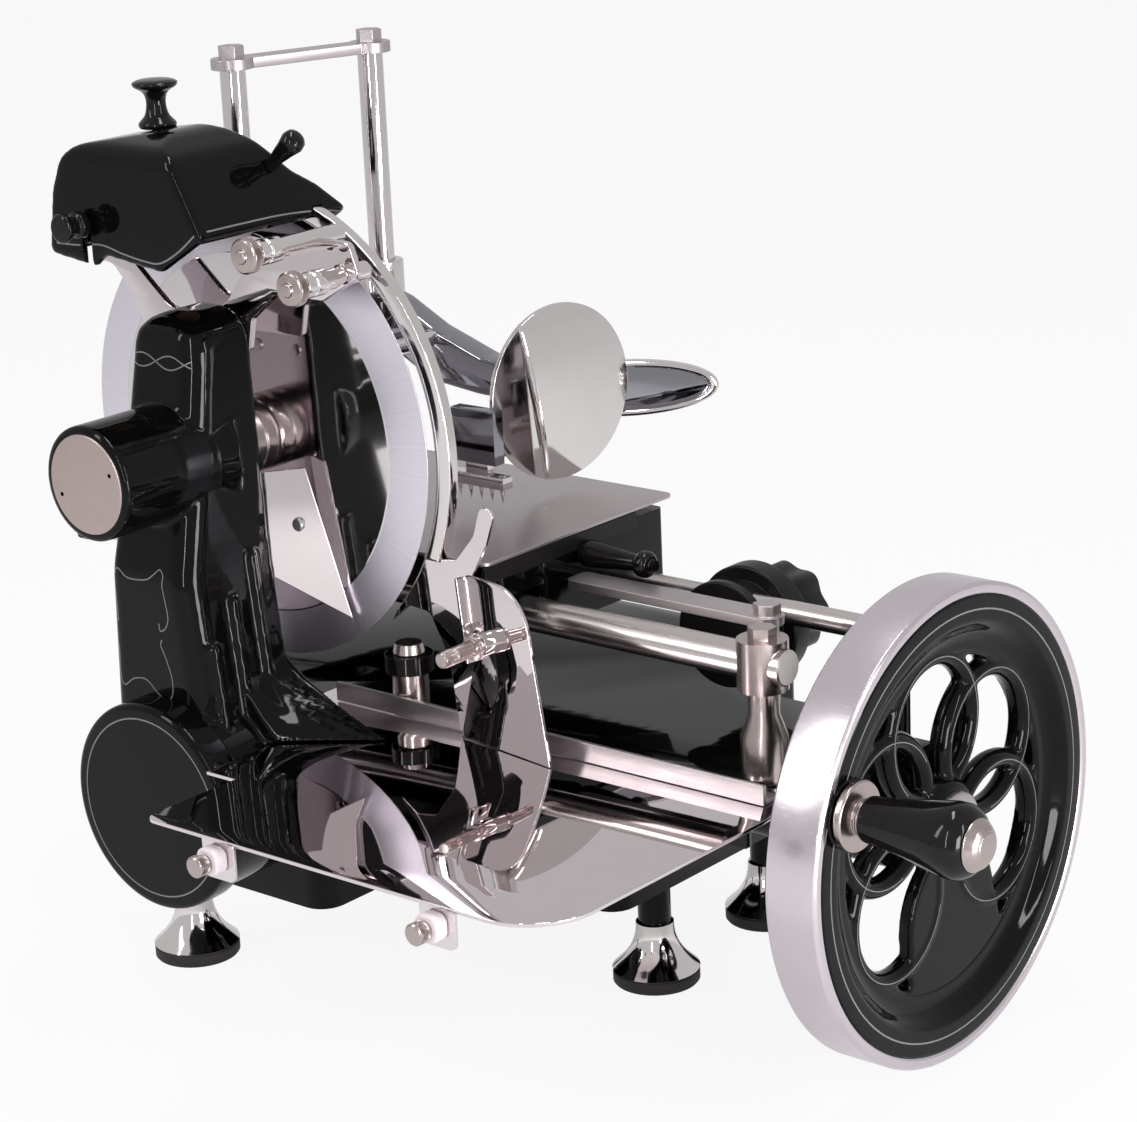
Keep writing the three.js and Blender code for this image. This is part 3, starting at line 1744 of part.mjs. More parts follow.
// A knob turned to a profile of shares of its length and radius, on a thin shank below it
function turnedKnob(shares, radius, long, shank) {
  const profile = [[0, 0], ...shares.map(([along, round]) => [along * long, round * radius]), [long, 0]];
  return join(turned(profile, "z"), rod(studHoleRadius - fit, "z", -shank, overrun, 16));
}
const mushroomShares = [
  [0, 0.62],
  [0.18, 0.6],
  [0.3, 0.4],
  [0.5, 0.4],
  [0.62, 0.8],
  [0.74, 1],
  [0.86, 0.94],
  [0.96, 0.62],
  [1, 0.3],
];
const coneShares = [
  [0, 0.6],
  [0.12, 0.62],
  [0.2, 0.55],
  [0.6, 0.82],
  [0.8, 1],
  [0.92, 0.9],
  [1, 0.5],
];

// Stud through the bracket, with a knurled collar near its front end
function stud(front) {
  const shank = rod(studRadius, "y", front, studBack);
  const cap = rod(studRadius * studCapShare, "y", front - studCapLong, front + overrun);
  const collar = thumbScrew(knurlRadius, knurlThick, studRadius, overrun, knurlFlutes);
  return join(shank, cap, moved(collar, 0, front + knurlSet + knurlThick, 0));
}

// Bobbin knob: it pulls the near stone's spindle through the hood's slot
const bobbinShares = [
  [0, 1],
  [0.14, 1],
  [0.24, 0.6],
  [0.74, 0.6],
  [0.84, 1],
  [1, 0.9],
];
const bobbinKnob = () =>
  join(
    turned(
      [
        [-bobbinLong, 0],
        ...bobbinShares.map(([along, round]) => [(along - 1) * bobbinLong, round * bobbinRadius]),
        [0, 0],
      ],
      "y",
      20,
    ),
    rod(spindleRadius, "y", -overrun, stoneY + stoneThick - hoodFront, 16),
  );

// The roof's height under a place, so that a knob can stand on it
function roofAt(mesh, x, y) {
  mesh.material.side = THREE.DoubleSide;
  const down = new THREE.Raycaster(
    new THREE.Vector3(x, y, hoodBottom + 2 * hoodHigh),
    axisZ.clone().negate(),
  );
  return down.intersectObject(mesh)[0].point.z;
}

function coneKnob() {
  const knob = piece("cone_knob", turnedKnob(coneShares, coneRadius, coneLong, knobShank), polishedSteel);
  knob.applyMatrix4(coneFrame);
  return knob;
}

// Drive shafts

const bevelGearBack = (bevelModule * bevelPinionTeeth) / 2;

function wheelShaft() {
  const gear = bevelGear(bevelGearTeeth, bevelPinionTeeth, bevelHubLong)
    .rotateY(Math.PI / 2)
    .translate(driveX - wheelFront, 0, 0);
  const faceEnd = -wheelStep + wheelHubHigh;
  const shaft = rod(wheelShaftRadius, "x", driveX - wheelFront + bevelGearBack, faceEnd + 2 * fit, 20);
  return join(gear, shaft, hubCap());
}

function crossShaft() {
  const pinion = bevelGear(bevelPinionTeeth, bevelGearTeeth, bevelHubLong)
    .rotateX(Math.PI / 2)
    .translate(0, wheelY, 0);
  const from = chainPlane - sprocketThick / 2 - chainWide;
  const to = wheelY - (bevelModule * bevelGearTeeth) / 2;
  return moved(join(pinion, rod(crossShaftRadius, "y", from, to)), driveX, 0, driveZ);
}

const bladeShaft = () =>
  join(
    rod(bladeShaftRadius, "y", hubFront + hubDiscThick + 2 * fit, bladeNutHigh - overrun),
    sprocket(upperTeeth, 0),
    bladeNut(),
  );

const hubDisc = () => rod(hubDiscRadius, "y", hubFront, hubFront + hubDiscThick - fit, 40);

// Assembly

const hoodMesh = piece("sharpener_hood", hood(), blackEnamel);
const roof = roofAt(hoodMesh, mushroomX + mushroomRadius / 2, mushroomY);

const machine = new THREE.Group();
machine.add(
  piece("base_casting", baseCasting(), blackEnamel),
  ...feet.map(([x, y], i) => assembly(x, y, 0, piece(`foot_${i + 1}`, footBell(), polishedSteel))),
  piece("chain_case", caseCasting(), blackEnamel),
  piece("case_back_plate", backPlate(), hiddenSteel),
  piece("hub_disc", hubDisc(), brushedSteel),
  assembly(driveX, 0, driveZ, piece("chain_cover", chainCover(), blackEnamel)),
  piece("drive_chain", chain(), hiddenSteel),
  piece("cross_shaft", crossShaft(), hiddenSteel),
  assembly(driveX, 0, driveZ, piece("lower_sprocket", sprocket(lowerTeeth, crossShaftRadius), hiddenSteel)),
  piece("blade", blade(), bladeSteel),
  piece("blade_hub", hubSleeve(), brushedSteel),
  piece("blade_shaft", bladeShaft(), hiddenSteel),
  assembly(
    wheelFront,
    wheelY,
    driveZ,
    piece("flywheel", flywheel(), blackEnamel),
    piece("wheel_shaft", wheelShaft(), hiddenSteel),
    assembly(
      0,
      crankRadius * Math.cos(rad(crankTurn)),
      crankRadius * Math.sin(rad(crankTurn)),
      piece("crank_pin", crankPin(), polishedSteel),
      piece("crank_grip", crankGrip(), blackPlastic),
    ),
  ),
  piece("guard_ring", guardRing(), polishedSteel),
  piece("guard_foot", footPlate(), polishedSteel),
  piece("slice_plate", slicePlate(), polishedSteel),
  piece("deflector", deflector(), polishedSteel),
  assembly(pinX, 0, pinZ, piece("deflector_pin", deflectorPin(), polishedSteel)),
  piece("tray", tray(), polishedSteel),
  piece("tray_rail", trayRail(), brushedSteel),
  ...clipPlaces.flatMap((x, i) => [
    piece(`clip_block_${i + 1}`, clipBlock(x), nylon),
    assembly(
      x,
      clipY - 2 * fit - clipBlockDeep,
      clipScrewZ,
      piece(
        `clip_screw_${i + 1}`,
        thumbScrew(clipScrewRadius, clipScrewLong, studHoleRadius - fit, clipBlockDeep + sheet, clipFlutes),
        brushedSteel,
      ),
    ),
  ]),
  assembly(rollerX, rollerY, 0, piece("roller_stud", rollerStud(), brushedSteel), piece("roller", rollerBearing(), polishedSteel)),
  piece("front_rod", slideRod(frontRodRadius, frontRodY, rodRight), polishedSteel),
  piece("rear_rod", slideRod(rearRodRadius, rearRodY, rearRodRight), polishedSteel),
  piece("front_post", frontPost(), brushedSteel),
  piece("dial_housing", dialHousing(), blackPlastic),
  piece("thickness_knob", thicknessKnob(), blackPlastic),
  piece("carriage_saddle", saddle(), blackEnamel),
  piece("feed_handle", feedHandle(), blackPlastic),
  piece("link_bar", linkBar(), brushedSteel),
  piece("meat_table", table(), brushedSteel),
  piece("table_strip", tableStrip(), blackPlastic),
  piece("press_rod_far", pressRod(pressPlaces[0]), polishedSteel),
  piece("press_rod_near", pressRod(pressPlaces[1]), polishedSteel),
  piece("press_bar", pressBar(), brushedSteel),
  piece("press_arm", pressArm(), polishedSteel),
  piece("press_knob", pressKnob(), blackPlastic),
  piece("press_disc", pressDisc(), polishedSteel),
  piece("press_wing", pressWing(), polishedSteel),
  piece("press_tongue", pressTongue(), blackPlastic),
  piece("spike_bar", spikeBar(), polishedSteel),
  piece("sharpener_bracket", bracket(), brushedSteel),
  hoodMesh,
  assembly(
    mushroomX,
    mushroomY,
    roof + knobLift,
    piece("mushroom_knob", turnedKnob(mushroomShares, mushroomRadius, mushroomHigh, knobShank), polishedSteel),
  ),
  coneKnob(),
  assembly(lowStudX, 0, lowStudZ, piece("low_stud", stud(lowStudFront), polishedSteel)),
  assembly(highStudX, 0, highStudZ, piece("high_stud", stud(highStudFront), polishedSteel)),
  assembly(bobbinX, stoneY, bobbinZ, piece("near_stone", stone(stoneRadius), grindstone)),
  assembly(farStoneX, farStoneY, farStoneZ, piece("far_stone", stone(farStoneRadius), grindstone)),
  assembly(bobbinX, hoodFront - fit, bobbinZ, piece("bobbin_knob", bobbinKnob(), polishedSteel)),
);

const group = new THREE.Group();
group.add(machine);
const bounds = new THREE.Box3().setFromObject(machine);
const middle = bounds.getCenter(new THREE.Vector3());
machine.position.set(-middle.x, -middle.y, -bounds.min.z);

export default group;
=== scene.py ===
# %% [markdown]
# A hand cranked slicer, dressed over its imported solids. The solids carry the mechanism and every
# size. Here each of them gets the surface that the eye expects: round things truly round, castings
# with soft corners, sheet steel with a broken edge, and a finish made from nodes.

import json

import bmesh
import bpy
import numpy as np
from mathutils import Matrix, Vector

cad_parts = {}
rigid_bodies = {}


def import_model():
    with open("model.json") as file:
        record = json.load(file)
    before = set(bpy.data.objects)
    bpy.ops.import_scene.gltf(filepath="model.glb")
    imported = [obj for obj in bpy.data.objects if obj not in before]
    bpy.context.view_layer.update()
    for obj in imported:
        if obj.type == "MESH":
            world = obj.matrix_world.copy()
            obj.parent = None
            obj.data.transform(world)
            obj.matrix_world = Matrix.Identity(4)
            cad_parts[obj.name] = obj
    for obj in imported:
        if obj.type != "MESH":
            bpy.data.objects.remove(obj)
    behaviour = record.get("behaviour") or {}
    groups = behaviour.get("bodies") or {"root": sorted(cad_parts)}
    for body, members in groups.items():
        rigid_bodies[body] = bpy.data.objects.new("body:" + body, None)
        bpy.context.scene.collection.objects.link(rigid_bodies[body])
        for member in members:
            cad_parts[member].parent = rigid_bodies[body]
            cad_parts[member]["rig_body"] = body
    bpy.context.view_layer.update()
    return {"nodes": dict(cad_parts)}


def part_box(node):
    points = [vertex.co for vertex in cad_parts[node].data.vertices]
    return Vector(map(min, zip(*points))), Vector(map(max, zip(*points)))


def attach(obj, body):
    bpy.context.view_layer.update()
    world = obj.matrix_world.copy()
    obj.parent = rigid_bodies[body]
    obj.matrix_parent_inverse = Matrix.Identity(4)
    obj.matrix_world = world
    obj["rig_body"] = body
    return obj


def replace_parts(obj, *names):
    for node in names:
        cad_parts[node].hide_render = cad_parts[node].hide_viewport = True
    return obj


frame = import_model()
MM = 0.001
low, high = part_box("blade")
BLADE = np.array([(low.x + high.x) / 2, high.y, (low.z + high.z) / 2])
print("blade centre in metres:", BLADE.round(4))

# %% [markdown]
# Every place below is in millimetres from the middle of the blade: X towards the flywheel, Y from
# the chain case towards the meat table, and Z up. One function turns such a place into the frame's
# metres, so a mesh carries its own place and its object stays at the origin.

# %% Places and meshes
AXES = {"x": (1, 2, 0), "y": (0, 2, 1), "z": (0, 1, 2)}


def placed(points):
    """Millimetres from the blade's middle, as metres in the frame."""
    return np.asarray(points, float) * MM + BLADE


def linked(name, data):
    """A new object in the scene, made from a mesh, a curve, a lamp or a camera."""
    made = bpy.data.objects.new(name, data)
    bpy.context.scene.collection.objects.link(made)
    return made


def mesh_object(name, points, faces):
    """A closed mesh from points in millimetres."""
    mesh = bpy.data.meshes.new(name)
    mesh.from_pydata(placed(points).tolist(), [], [list(face) for face in faces])
    return finished_mesh(name, mesh, 40)


def finished_mesh(name, mesh, smooth, recalculate=True):
    """Merges doubles, turns the faces outwards and shades the mesh smooth up to an angle in degrees."""
    edit = bmesh.new()
    edit.from_mesh(mesh)
    bmesh.ops.remove_doubles(edit, verts=edit.verts, dist=2e-6)
    bmesh.ops.dissolve_degenerate(edit, edges=edit.edges, dist=1e-6)
    if recalculate:
        bmesh.ops.recalc_face_normals(edit, faces=edit.faces)
    edit.to_mesh(mesh)
    edit.free()
    mesh.polygons.foreach_set("use_smooth", [True] * len(mesh.polygons))
    mesh.set_sharp_from_angle(angle=np.radians(smooth))
    return linked(name, mesh)


def grid_faces(rows, columns, closed=True):
    """The quads of a grid of points, row after row, closed round its columns."""
    row, column = np.meshgrid(np.arange(rows - 1), np.arange(columns - (not closed)), indexing="ij")
    beside = (column + 1) % columns
    corners = [row * columns + column, row * columns + beside]
    corners += [(row + 1) * columns + beside, (row + 1) * columns + column]
    return np.stack(corners, -1).reshape(-1, 4)


# %% [markdown]
# Most small parts came off a lathe. A profile of (along, radius) places is rounded a little at its
# corners, because a real edge always shows a thin line of light, and is then carried round an axis.

# %% Turned parts
def softened(profile, radius):
    """Each corner becomes (1 - t)^2 start + 2 t (1 - t) corner + t^2 end, tangent to both sides."""
    points = np.asarray(profile, float)
    rounded = [points[:1]]
    for before, here, after in zip(points[:-2], points[1:-1], points[2:]):
        back, on = before - here, after - here
        lengths = np.linalg.norm(back), np.linalg.norm(on)
        reach = min(radius, lengths[0] * 0.45, lengths[1] * 0.45)
        start, end = here + back / lengths[0] * reach, here + on / lengths[1] * reach
        t = np.linspace(0, 1, 4)[:, None]
        rounded.append((1 - t) ** 2 * start + 2 * t * (1 - t) * here + t**2 * end)
    return np.vstack([*rounded, points[-1:]])


def curved(profile, steps):
    """A Catmull-Rom curve through the places of a profile."""
    points = np.asarray(profile, float)
    ends = np.vstack([2 * points[0] - points[1], points, 2 * points[-1] - points[-2]])
    t = np.linspace(0, 1, steps, endpoint=False)[None, :, None]
    a, b, c, d = (ends[i : len(ends) - 3 + i][:, None] for i in range(4))
    run = b + t / 2 * (c - a) + t**2 / 2 * (2 * a - 5 * b + 4 * c - d) + t**3 / 2 * (3 * b - a - 3 * c + d)
    return np.vstack([run.reshape(-1, 2), points[-1:]])


def closed(profile):
    """A profile that ends where it starts, for a ring with a hole."""
    return [*profile, profile[0]]


def turned(name, profile, axis, centre, edge, sides=72, flutes=None):
    """A profile carried round an axis through centre: across = r cos t, up = r sin t.
    Flutes = (count, depth, from, to) makes the radius ripple between two places along the axis."""
    points = softened(profile, edge) if edge else np.asarray(profile, float)
    turn = np.linspace(0, 2 * np.pi, sides, endpoint=False)
    along, radius = points[:, :1], points[:, 1:]
    if flutes:
        count, depth, start, end = flutes
        inside = (along > start) & (along < end) & (radius > 2 * depth)
        radius = radius - inside * depth * (0.5 + 0.5 * np.cos(count * turn))[None, :]
    across = radius * np.cos(turn)
    up = radius * np.sin(turn)
    grid = np.empty((len(points), sides, 3))
    first, second, third = AXES[axis]
    grid[..., first], grid[..., second], grid[..., third] = across, up, along
    return mesh_object(name, grid.reshape(-1, 3) + centre, grid_faces(len(points), sides))


def rod(name, axis, centre, start, end, radius, sides=48, inner=0.0, edge=0.0):
    """A plain rod along an axis through centre; an inner radius makes it a tube."""
    profile = [(start, inner), (start, radius), (end, radius), (end, inner)]
    return turned(name, closed(profile) if inner else profile, axis, centre, edge, sides)


# %% [markdown]
# Sheet steel and bars are outlines with a thickness. Blender's flat curves fill an outline and its
# holes and round the edges with a bevel, so they do the drafting work and are then made meshes.

# %% Plates
FRAMES = {
    "x": Matrix(((0, 0, 1), (1, 0, 0), (0, 1, 0))),
    "y": Matrix(((1, 0, 0), (0, 0, -1), (0, 1, 0))),
    "z": Matrix.Identity(3),
}


def outline(corners, steps=10):
    """A closed outline through (across, up, radius) corners; a radius makes that corner an arc."""
    corners = [(*corner, 0)[:3] for corner in corners]
    places = np.array([corner[:2] for corner in corners], float)
    points = []
    for i, (_, _, radius) in enumerate(corners):
        here = places[i]
        back, on = places[i - 1] - here, places[(i + 1) % len(places)] - here
        room = min(np.linalg.norm(back), np.linalg.norm(on)) / 2
        back, on = back / np.linalg.norm(back), on / np.linalg.norm(on)
        half = np.arccos(np.clip(back @ on, -1, 1)) / 2
        bend = min(radius, room * np.tan(half) * 0.999)
        if bend <= 0:
            points.append(here[None])
            continue
        middle = here + (back + on) / np.linalg.norm(back + on) * bend / np.sin(half)
        start, end = here + back * bend / np.tan(half) - middle, here + on * bend / np.tan(half) - middle
        first, last = np.arctan2(*start[::-1]), np.arctan2(*end[::-1])
        sweep = (last - first + np.pi) % (2 * np.pi) - np.pi
        turn = first + np.linspace(0, 1, steps + 1) * sweep
        points.append(middle + bend * np.stack([np.cos(turn), np.sin(turn)], -1))
    return np.vstack(points)


def arc(radius, start, end, steps, across=0.0, up=0.0):
    """Places on an arc between two angles in radians: (across + r cos t, up + r sin t)."""
    turn = np.linspace(start, end, steps)
    return np.stack([across + radius * np.cos(turn), up + radius * np.sin(turn)], -1)


def circle(radius, across=0.0, up=0.0, steps=96):
    """A whole turn of the arc, without its last place, which is the first one again."""
    return arc(radius, 0, 2 * np.pi, steps + 1, across, up)[:-1]


def rectangle(x, y, corner=0.0):
    """The outline between a pair of places across and a pair up, with round corners."""
    return outline([(x[0], y[0], corner), (x[1], y[0], corner), (x[1], y[1], corner), (x[0], y[1], corner)])


def on_plane(flat, axis, level):
    """Flat (across, up) places put in space, on a plane square to an axis."""
    places = np.full((len(flat), 3), float(level))
    places[:, AXES[axis][:2]] = flat
    return places


def slab(name, rings, axis, start, end, edge=0.3, place=None):
    """Outlines, the first one outside and the rest holes, given thickness from start to end."""
    curve = bpy.data.curves.new(name, "CURVE")
    curve.dimensions, curve.fill_mode = "2D", "BOTH"
    curve.extrude = (end - start) / 2 - edge
    curve.bevel_depth, curve.offset, curve.bevel_resolution = edge, -edge, 2
    for ring in rings:
        spline = curve.splines.new("POLY")
        spline.points.add(len(ring) - 1)
        places = np.column_stack([ring, np.zeros(len(ring)), np.ones(len(ring))])
        spline.points.foreach_set("co", places.ravel())
        spline.use_cyclic_u = True
    flat = linked(name, curve)
    bpy.context.view_layer.update()
    mesh = bpy.data.meshes.new_from_object(flat.evaluated_get(bpy.context.evaluated_depsgraph_get()))
    bpy.data.objects.remove(flat)
    middle = (start + end) / 2
    raised = Matrix.Translation((0, 0, -middle if axis == "y" else middle))
    turn = FRAMES[axis].to_4x4() @ raised
    if place is not None:
        turn = place @ turn
    mesh.transform(Matrix.Translation(Vector(BLADE)) @ Matrix.Scale(MM, 4) @ turn)
    return finished_mesh(name, mesh, 40)


def block(name, x, y, z, edge=0.6, corner=0.0):
    """A bar or block between pairs of X, Y and Z."""
    return slab(name, [rectangle(x, y, corner)], "z", *z, edge=edge)


# %% [markdown]
# Castings have soft inner corners where one form runs into another. The forms are thrown together,
# turned into one skin of small even cells and smoothed, which leaves such fillets everywhere.

# %% Castings and cuts
def merged(name, pieces):
    """The pieces' meshes in one object."""
    edit = bmesh.new()
    for piece in pieces:
        edit.from_mesh(piece.data)
    mesh = bpy.data.meshes.new(name)
    edit.to_mesh(mesh)
    edit.free()
    for piece in pieces:
        bpy.data.objects.remove(piece)
    return linked(name, mesh)


def applied(piece, smooth):
    """The piece with its modifiers made real."""
    bpy.context.view_layer.update()
    name = piece.name
    mesh = bpy.data.meshes.new_from_object(piece.evaluated_get(bpy.context.evaluated_depsgraph_get()))
    bpy.data.objects.remove(piece)
    return finished_mesh(name, mesh, smooth, recalculate=False)


def cast(name, pieces, cell, passes):
    """One skin round all the pieces, in cells of that many millimetres, smoothed in passes."""
    whole = merged(name, pieces)
    remesh = whole.modifiers.new("skin", "REMESH")
    remesh.mode, remesh.voxel_size, remesh.use_smooth_shade = "VOXEL", cell * MM, True
    settle = whole.modifiers.new("settle", "SMOOTH")
    settle.factor, settle.iterations = 0.5, passes
    return applied(whole, 60)


def joined(piece, tools, operation, smooth=40):
    """The piece joined with, cut by or kept inside other closed pieces, which are used up."""
    for tool in tools:
        change = piece.modifiers.new("change", "BOOLEAN")
        change.operation, change.object, change.solver = operation, tool, "EXACT"
    done = applied(piece, smooth)
    for tool in tools:
        bpy.data.objects.remove(tool)
    return done


def stands_for(piece, *nodes):
    """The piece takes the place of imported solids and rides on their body."""
    print(piece.name, "stands for", ", ".join(nodes))
    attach(piece, frame["nodes"][nodes[0]]["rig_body"])
    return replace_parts(piece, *nodes)


# %% [markdown]
# Finishes are node trees. Writing them as sums and products keeps them readable, so a small class
# wraps a socket, and an expression on such values adds the Math nodes that work it out.

# %% Writing materials as expressions
class Value:
    """One output socket; arithmetic on it adds a Math node."""

    def __init__(self, finish, socket):
        self.finish, self.socket = finish, socket

    def math(self, operation, *values):
        """A Math node on values and numbers."""
        return self.finish.add("ShaderNodeMath", {"operation": operation}, values)[0]

    def __add__(self, other):
        return self.math("ADD", self, other)

    def __rsub__(self, other):
        return self.math("SUBTRACT", other, self)

    def __mul__(self, other):
        return self.math("MULTIPLY", self, other)

    def __pow__(self, other):
        return self.math("POWER", self, other)

    __radd__, __rmul__ = __add__, __mul__

    def most(self, other):
        """The greater of two values."""
        return self.math("MAXIMUM", self, other)

    def above(self, level, soft):
        """1 where the value is over a level, 0 under it, with a soft step between."""
        settings = {"interpolation_type": "SMOOTHSTEP"}
        return self.finish.add("ShaderNodeMapRange", settings, (self, level - soft, level + soft))[0]


class Node:
    """A node just added; square brackets give one of its outputs."""

    def __init__(self, finish, node):
        self.finish, self.node = finish, node

    def __getitem__(self, key):
        return Value(self.finish, self.node.outputs[key])


class Finish:
    """A material being made."""

    def __init__(self, name, target=None):
        self.material = target or bpy.data.materials.new(name)
        self.material.use_nodes = True
        self.tree = self.material.node_tree
        self.tree.nodes.clear()

    def add(self, kind, settings=None, values=(), **named):
        """A node of a kind: its settings first, then values or links by order or by name."""
        node = self.tree.nodes.new(kind)
        for key, setting in (settings or {}).items():
            setattr(node, key, setting)
        for i, value in enumerate(values):
            self.feed(node.inputs[i], value)
        for key, value in named.items():
            self.feed(node.inputs[key.replace("_", " ")], value)
        return Node(self, node)

    def feed(self, socket, value):
        """Sets a socket, or links it where the value comes from another node."""
        if isinstance(value, Value):
            self.tree.links.new(value.socket, socket)
        else:
            socket.default_value = value

    def place(self):
        """Millimetres from the middle of the blade, as one vector."""
        here = self.add("ShaderNodeTexCoord")["Object"]
        shifted = self.add("ShaderNodeVectorMath", {"operation": "SUBTRACT"}, (here, tuple(BLADE)))[0]
        return self.add("ShaderNodeVectorMath", {"operation": "SCALE"}, (shifted,), Scale=1 / MM)[0]

    def parts(self, vector):
        """The X, Y and Z of a vector."""
        split = self.add("ShaderNodeSeparateXYZ", None, (vector,))
        return split[0], split[1], split[2]

    def noise(self, scale, detail, stretch=(1, 1, 1)):
        """Cloudy noise of that many millimetres, drawn out along an axis by stretch."""
        sizes = tuple(scale * s for s in stretch)
        scaled = self.add("ShaderNodeVectorMath", {"operation": "DIVIDE"}, (self.place(), sizes))
        return self.add("ShaderNodeTexNoise", None, (scaled[0],), Scale=1.0, Detail=detail)["Fac"]

    def blend(self, share, first, second):
        """A colour between two colours."""
        node = self.add("ShaderNodeMix", {"data_type": "RGBA", "clamp_factor": True})
        for index, value in ((0, share), (6, first), (7, second)):
            self.feed(node.node.inputs[index], value)
        return node[2]

    def bump(self, height, distance):
        """A bump of that height in millimetres."""
        inputs = {"Height": height, "Distance": distance * MM, "Strength": 1.0}
        return self.add("ShaderNodeBump", None, (), **inputs)[0]

    def done(self, **sockets):
        """Closes the material with one Principled shader."""
        shader = self.add("ShaderNodeBsdfPrincipled", None, (), **sockets)
        self.add("ShaderNodeOutputMaterial", None, (shader[0],))
        return self.material


def shade(red, green=None, blue=None):
    """A colour in linear light; one number makes a grey."""
    return (red, red if green is None else green, red if blue is None else blue, 1.0)


# %% [markdown]
# Black stove enamel is nearly black paint under a glassy skin: all that the eye gets from it are
# the lamps. Its skin is never quite flat, so a very low, wide bump bends the reflections. The
# thin grey lines on it are ribbons of their own, made further down.

# %% Black enamel
BLACK = shade(0.0016, 0.0017, 0.0018)


def enamel(name):
    """Roughness = 0.04 + a wide ripple + rare specks; the ripple also bends the skin."""
    finish = Finish(name)
    ripple = finish.noise(9.0, detail=1.0)
    speck = finish.noise(1.1, detail=4.0)
    return finish.done(
        Base_Color=finish.blend(ripple, BLACK, shade(0.0026, 0.0028, 0.0029)),
        Roughness=0.04 + ripple * 0.03 + speck.above(0.68, 0.06) * 0.05,
        Specular_IOR_Level=0.16,
        Normal=finish.bump(ripple, 0.05),
    )


# %% [markdown]
# Polished sheet is a mirror with hairline wiping marks. Ground bars, turned parts and brushed sheet
# have fine marks along the way they were worked. The tray's sheet is the sharpest mirror of all.

# %% Steel
STEEL = shade(0.74, 0.70, 0.70)


def polished(name, tint=STEEL, rough=0.055, marks=1.0):
    """Roughness = rough + a wide smear + hairlines, where a drawn-out noise is high."""
    finish = Finish(name)
    smear = finish.noise(14.0, detail=3.0)
    hair = finish.noise(0.5, detail=2.0, stretch=(14, 1, 14))
    return finish.done(
        Base_Color=finish.blend(smear, tint, shade(*(0.93 * c for c in tint[:3]))),
        Metallic=1.0,
        Roughness=rough + smear * 0.04 * marks + hair.above(0.62, 0.08) * 0.05 * marks,
        Normal=finish.bump(hair, 0.004 * marks),
    )


def brushed(name, stretch, tint, rough):
    """Roughness = rough + grain + cloud; the grain is a fine noise drawn out the way of the work."""
    finish = Finish(name)
    grain = finish.noise(0.35, detail=4.0, stretch=stretch)
    cloud = finish.noise(11.0, detail=2.0)
    return finish.done(
        Base_Color=finish.blend(grain, tint, shade(*(0.8 * c for c in tint[:3]))),
        Metallic=1.0,
        Roughness=rough + grain * 0.14 + cloud * 0.06,
        Normal=finish.bump(grain, 0.012),
    )


polished_steel = polished("polished_steel")
sheet_steel = polished("mirror_sheet", shade(0.72, 0.655, 0.67), 0.012, 0.2)
rod_steel = brushed("ground_rod", (60, 1, 1), shade(0.68, 0.63, 0.62), 0.12)
turned_steel = brushed("turned_steel", (1, 1, 1), shade(0.50, 0.43, 0.42), 0.14)
satin_steel = brushed("satin_sheet", (40, 2, 2), shade(0.54, 0.49, 0.50), 0.24)
hub_steel = brushed("hub_sheet", (2, 1, 30), shade(0.52, 0.43, 0.41), 0.3)
# The dark mirror's grey colour is a painted dark reflection: it paints in the dark surroundings that the arm,
# the leaf's plate and the spike box mirror.
steel_painted_dark_reflection = polished("dark_mirror", shade(0.30, 0.30, 0.33), 0.04)
hidden_steel = brushed("machined_steel", (1, 1, 1), shade(0.4, 0.4, 0.41), 0.35)

# %% [markdown]
# The knobs are black resin, polished on the crank and dull on the dial, and the clips' blocks are
# white nylon. Nothing moulded is quite even, so one soft noise moves colour and gloss together.
# The grinding stones are brown, coarse and porous, which takes a second noise for the pores.

# %% Resin, nylon and stone
def coat(name, colours, size, rough, drift, bump, grain=None, **sockets):
    """Colour and roughness that drift with one soft noise, over a skin of that noise or a finer one."""
    finish = Finish(name)
    cloud = finish.noise(size, detail=2.0)
    skin = finish.noise(grain, detail=2.0) if grain else cloud
    return finish.done(
        Base_Color=finish.blend(cloud, *colours),
        Roughness=rough + cloud * drift,
        Normal=finish.bump(skin, bump),
        **sockets,
    )


def grindstone():
    """Brown grit = one noise; darker pores = where a wider noise is high."""
    finish = Finish("grindstone")
    grit = finish.noise(0.7, detail=6.0)
    pores = finish.noise(1.6, detail=2.0)
    dark = finish.blend(grit, shade(0.17, 0.075, 0.045), shade(0.50, 0.27, 0.19))
    return finish.done(
        Base_Color=finish.blend(pores.above(0.62, 0.05), dark, shade(0.09, 0.04, 0.03)),
        Roughness=0.85 + grit * 0.1,
        Normal=finish.bump(grit, 0.12),
    )


resin_blacks = shade(0.003, 0.0024, 0.0027), shade(0.007, 0.0055, 0.006)
gloss_resin = coat("polished_resin", resin_blacks, 6.0, 0.07, 0.06, 0.002, 0.6, Specular_IOR_Level=0.26)
dull_resin = coat("moulded_resin", resin_blacks, 6.0, 0.32, 0.06, 0.02, 0.6, Specular_IOR_Level=0.26)
nylon_whites = shade(0.80, 0.72, 0.75), shade(0.70, 0.62, 0.66)
white_nylon, brown_stone = coat("nylon", nylon_whites, 5.0, 0.35, 0.1, 0.03), grindstone()
print("finishes so far:", [material.name for material in bpy.data.materials])

# %% [markdown]
# The solids that no piece replaces are dressed as they are: a copy of each is merged, its flat
# facets are joined, its edges get a narrow bevel, and the copy takes the solid's place.

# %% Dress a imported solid
def edged(piece, width, turn):
    """A narrow bevel on the edges that are sharper than a turn in degrees."""
    bevel = piece.modifiers.new("edge", "BEVEL")
    bevel.width, bevel.segments, bevel.limit_method = width * MM, 2, "ANGLE"
    bevel.angle_limit = np.radians(turn)
    return bevel


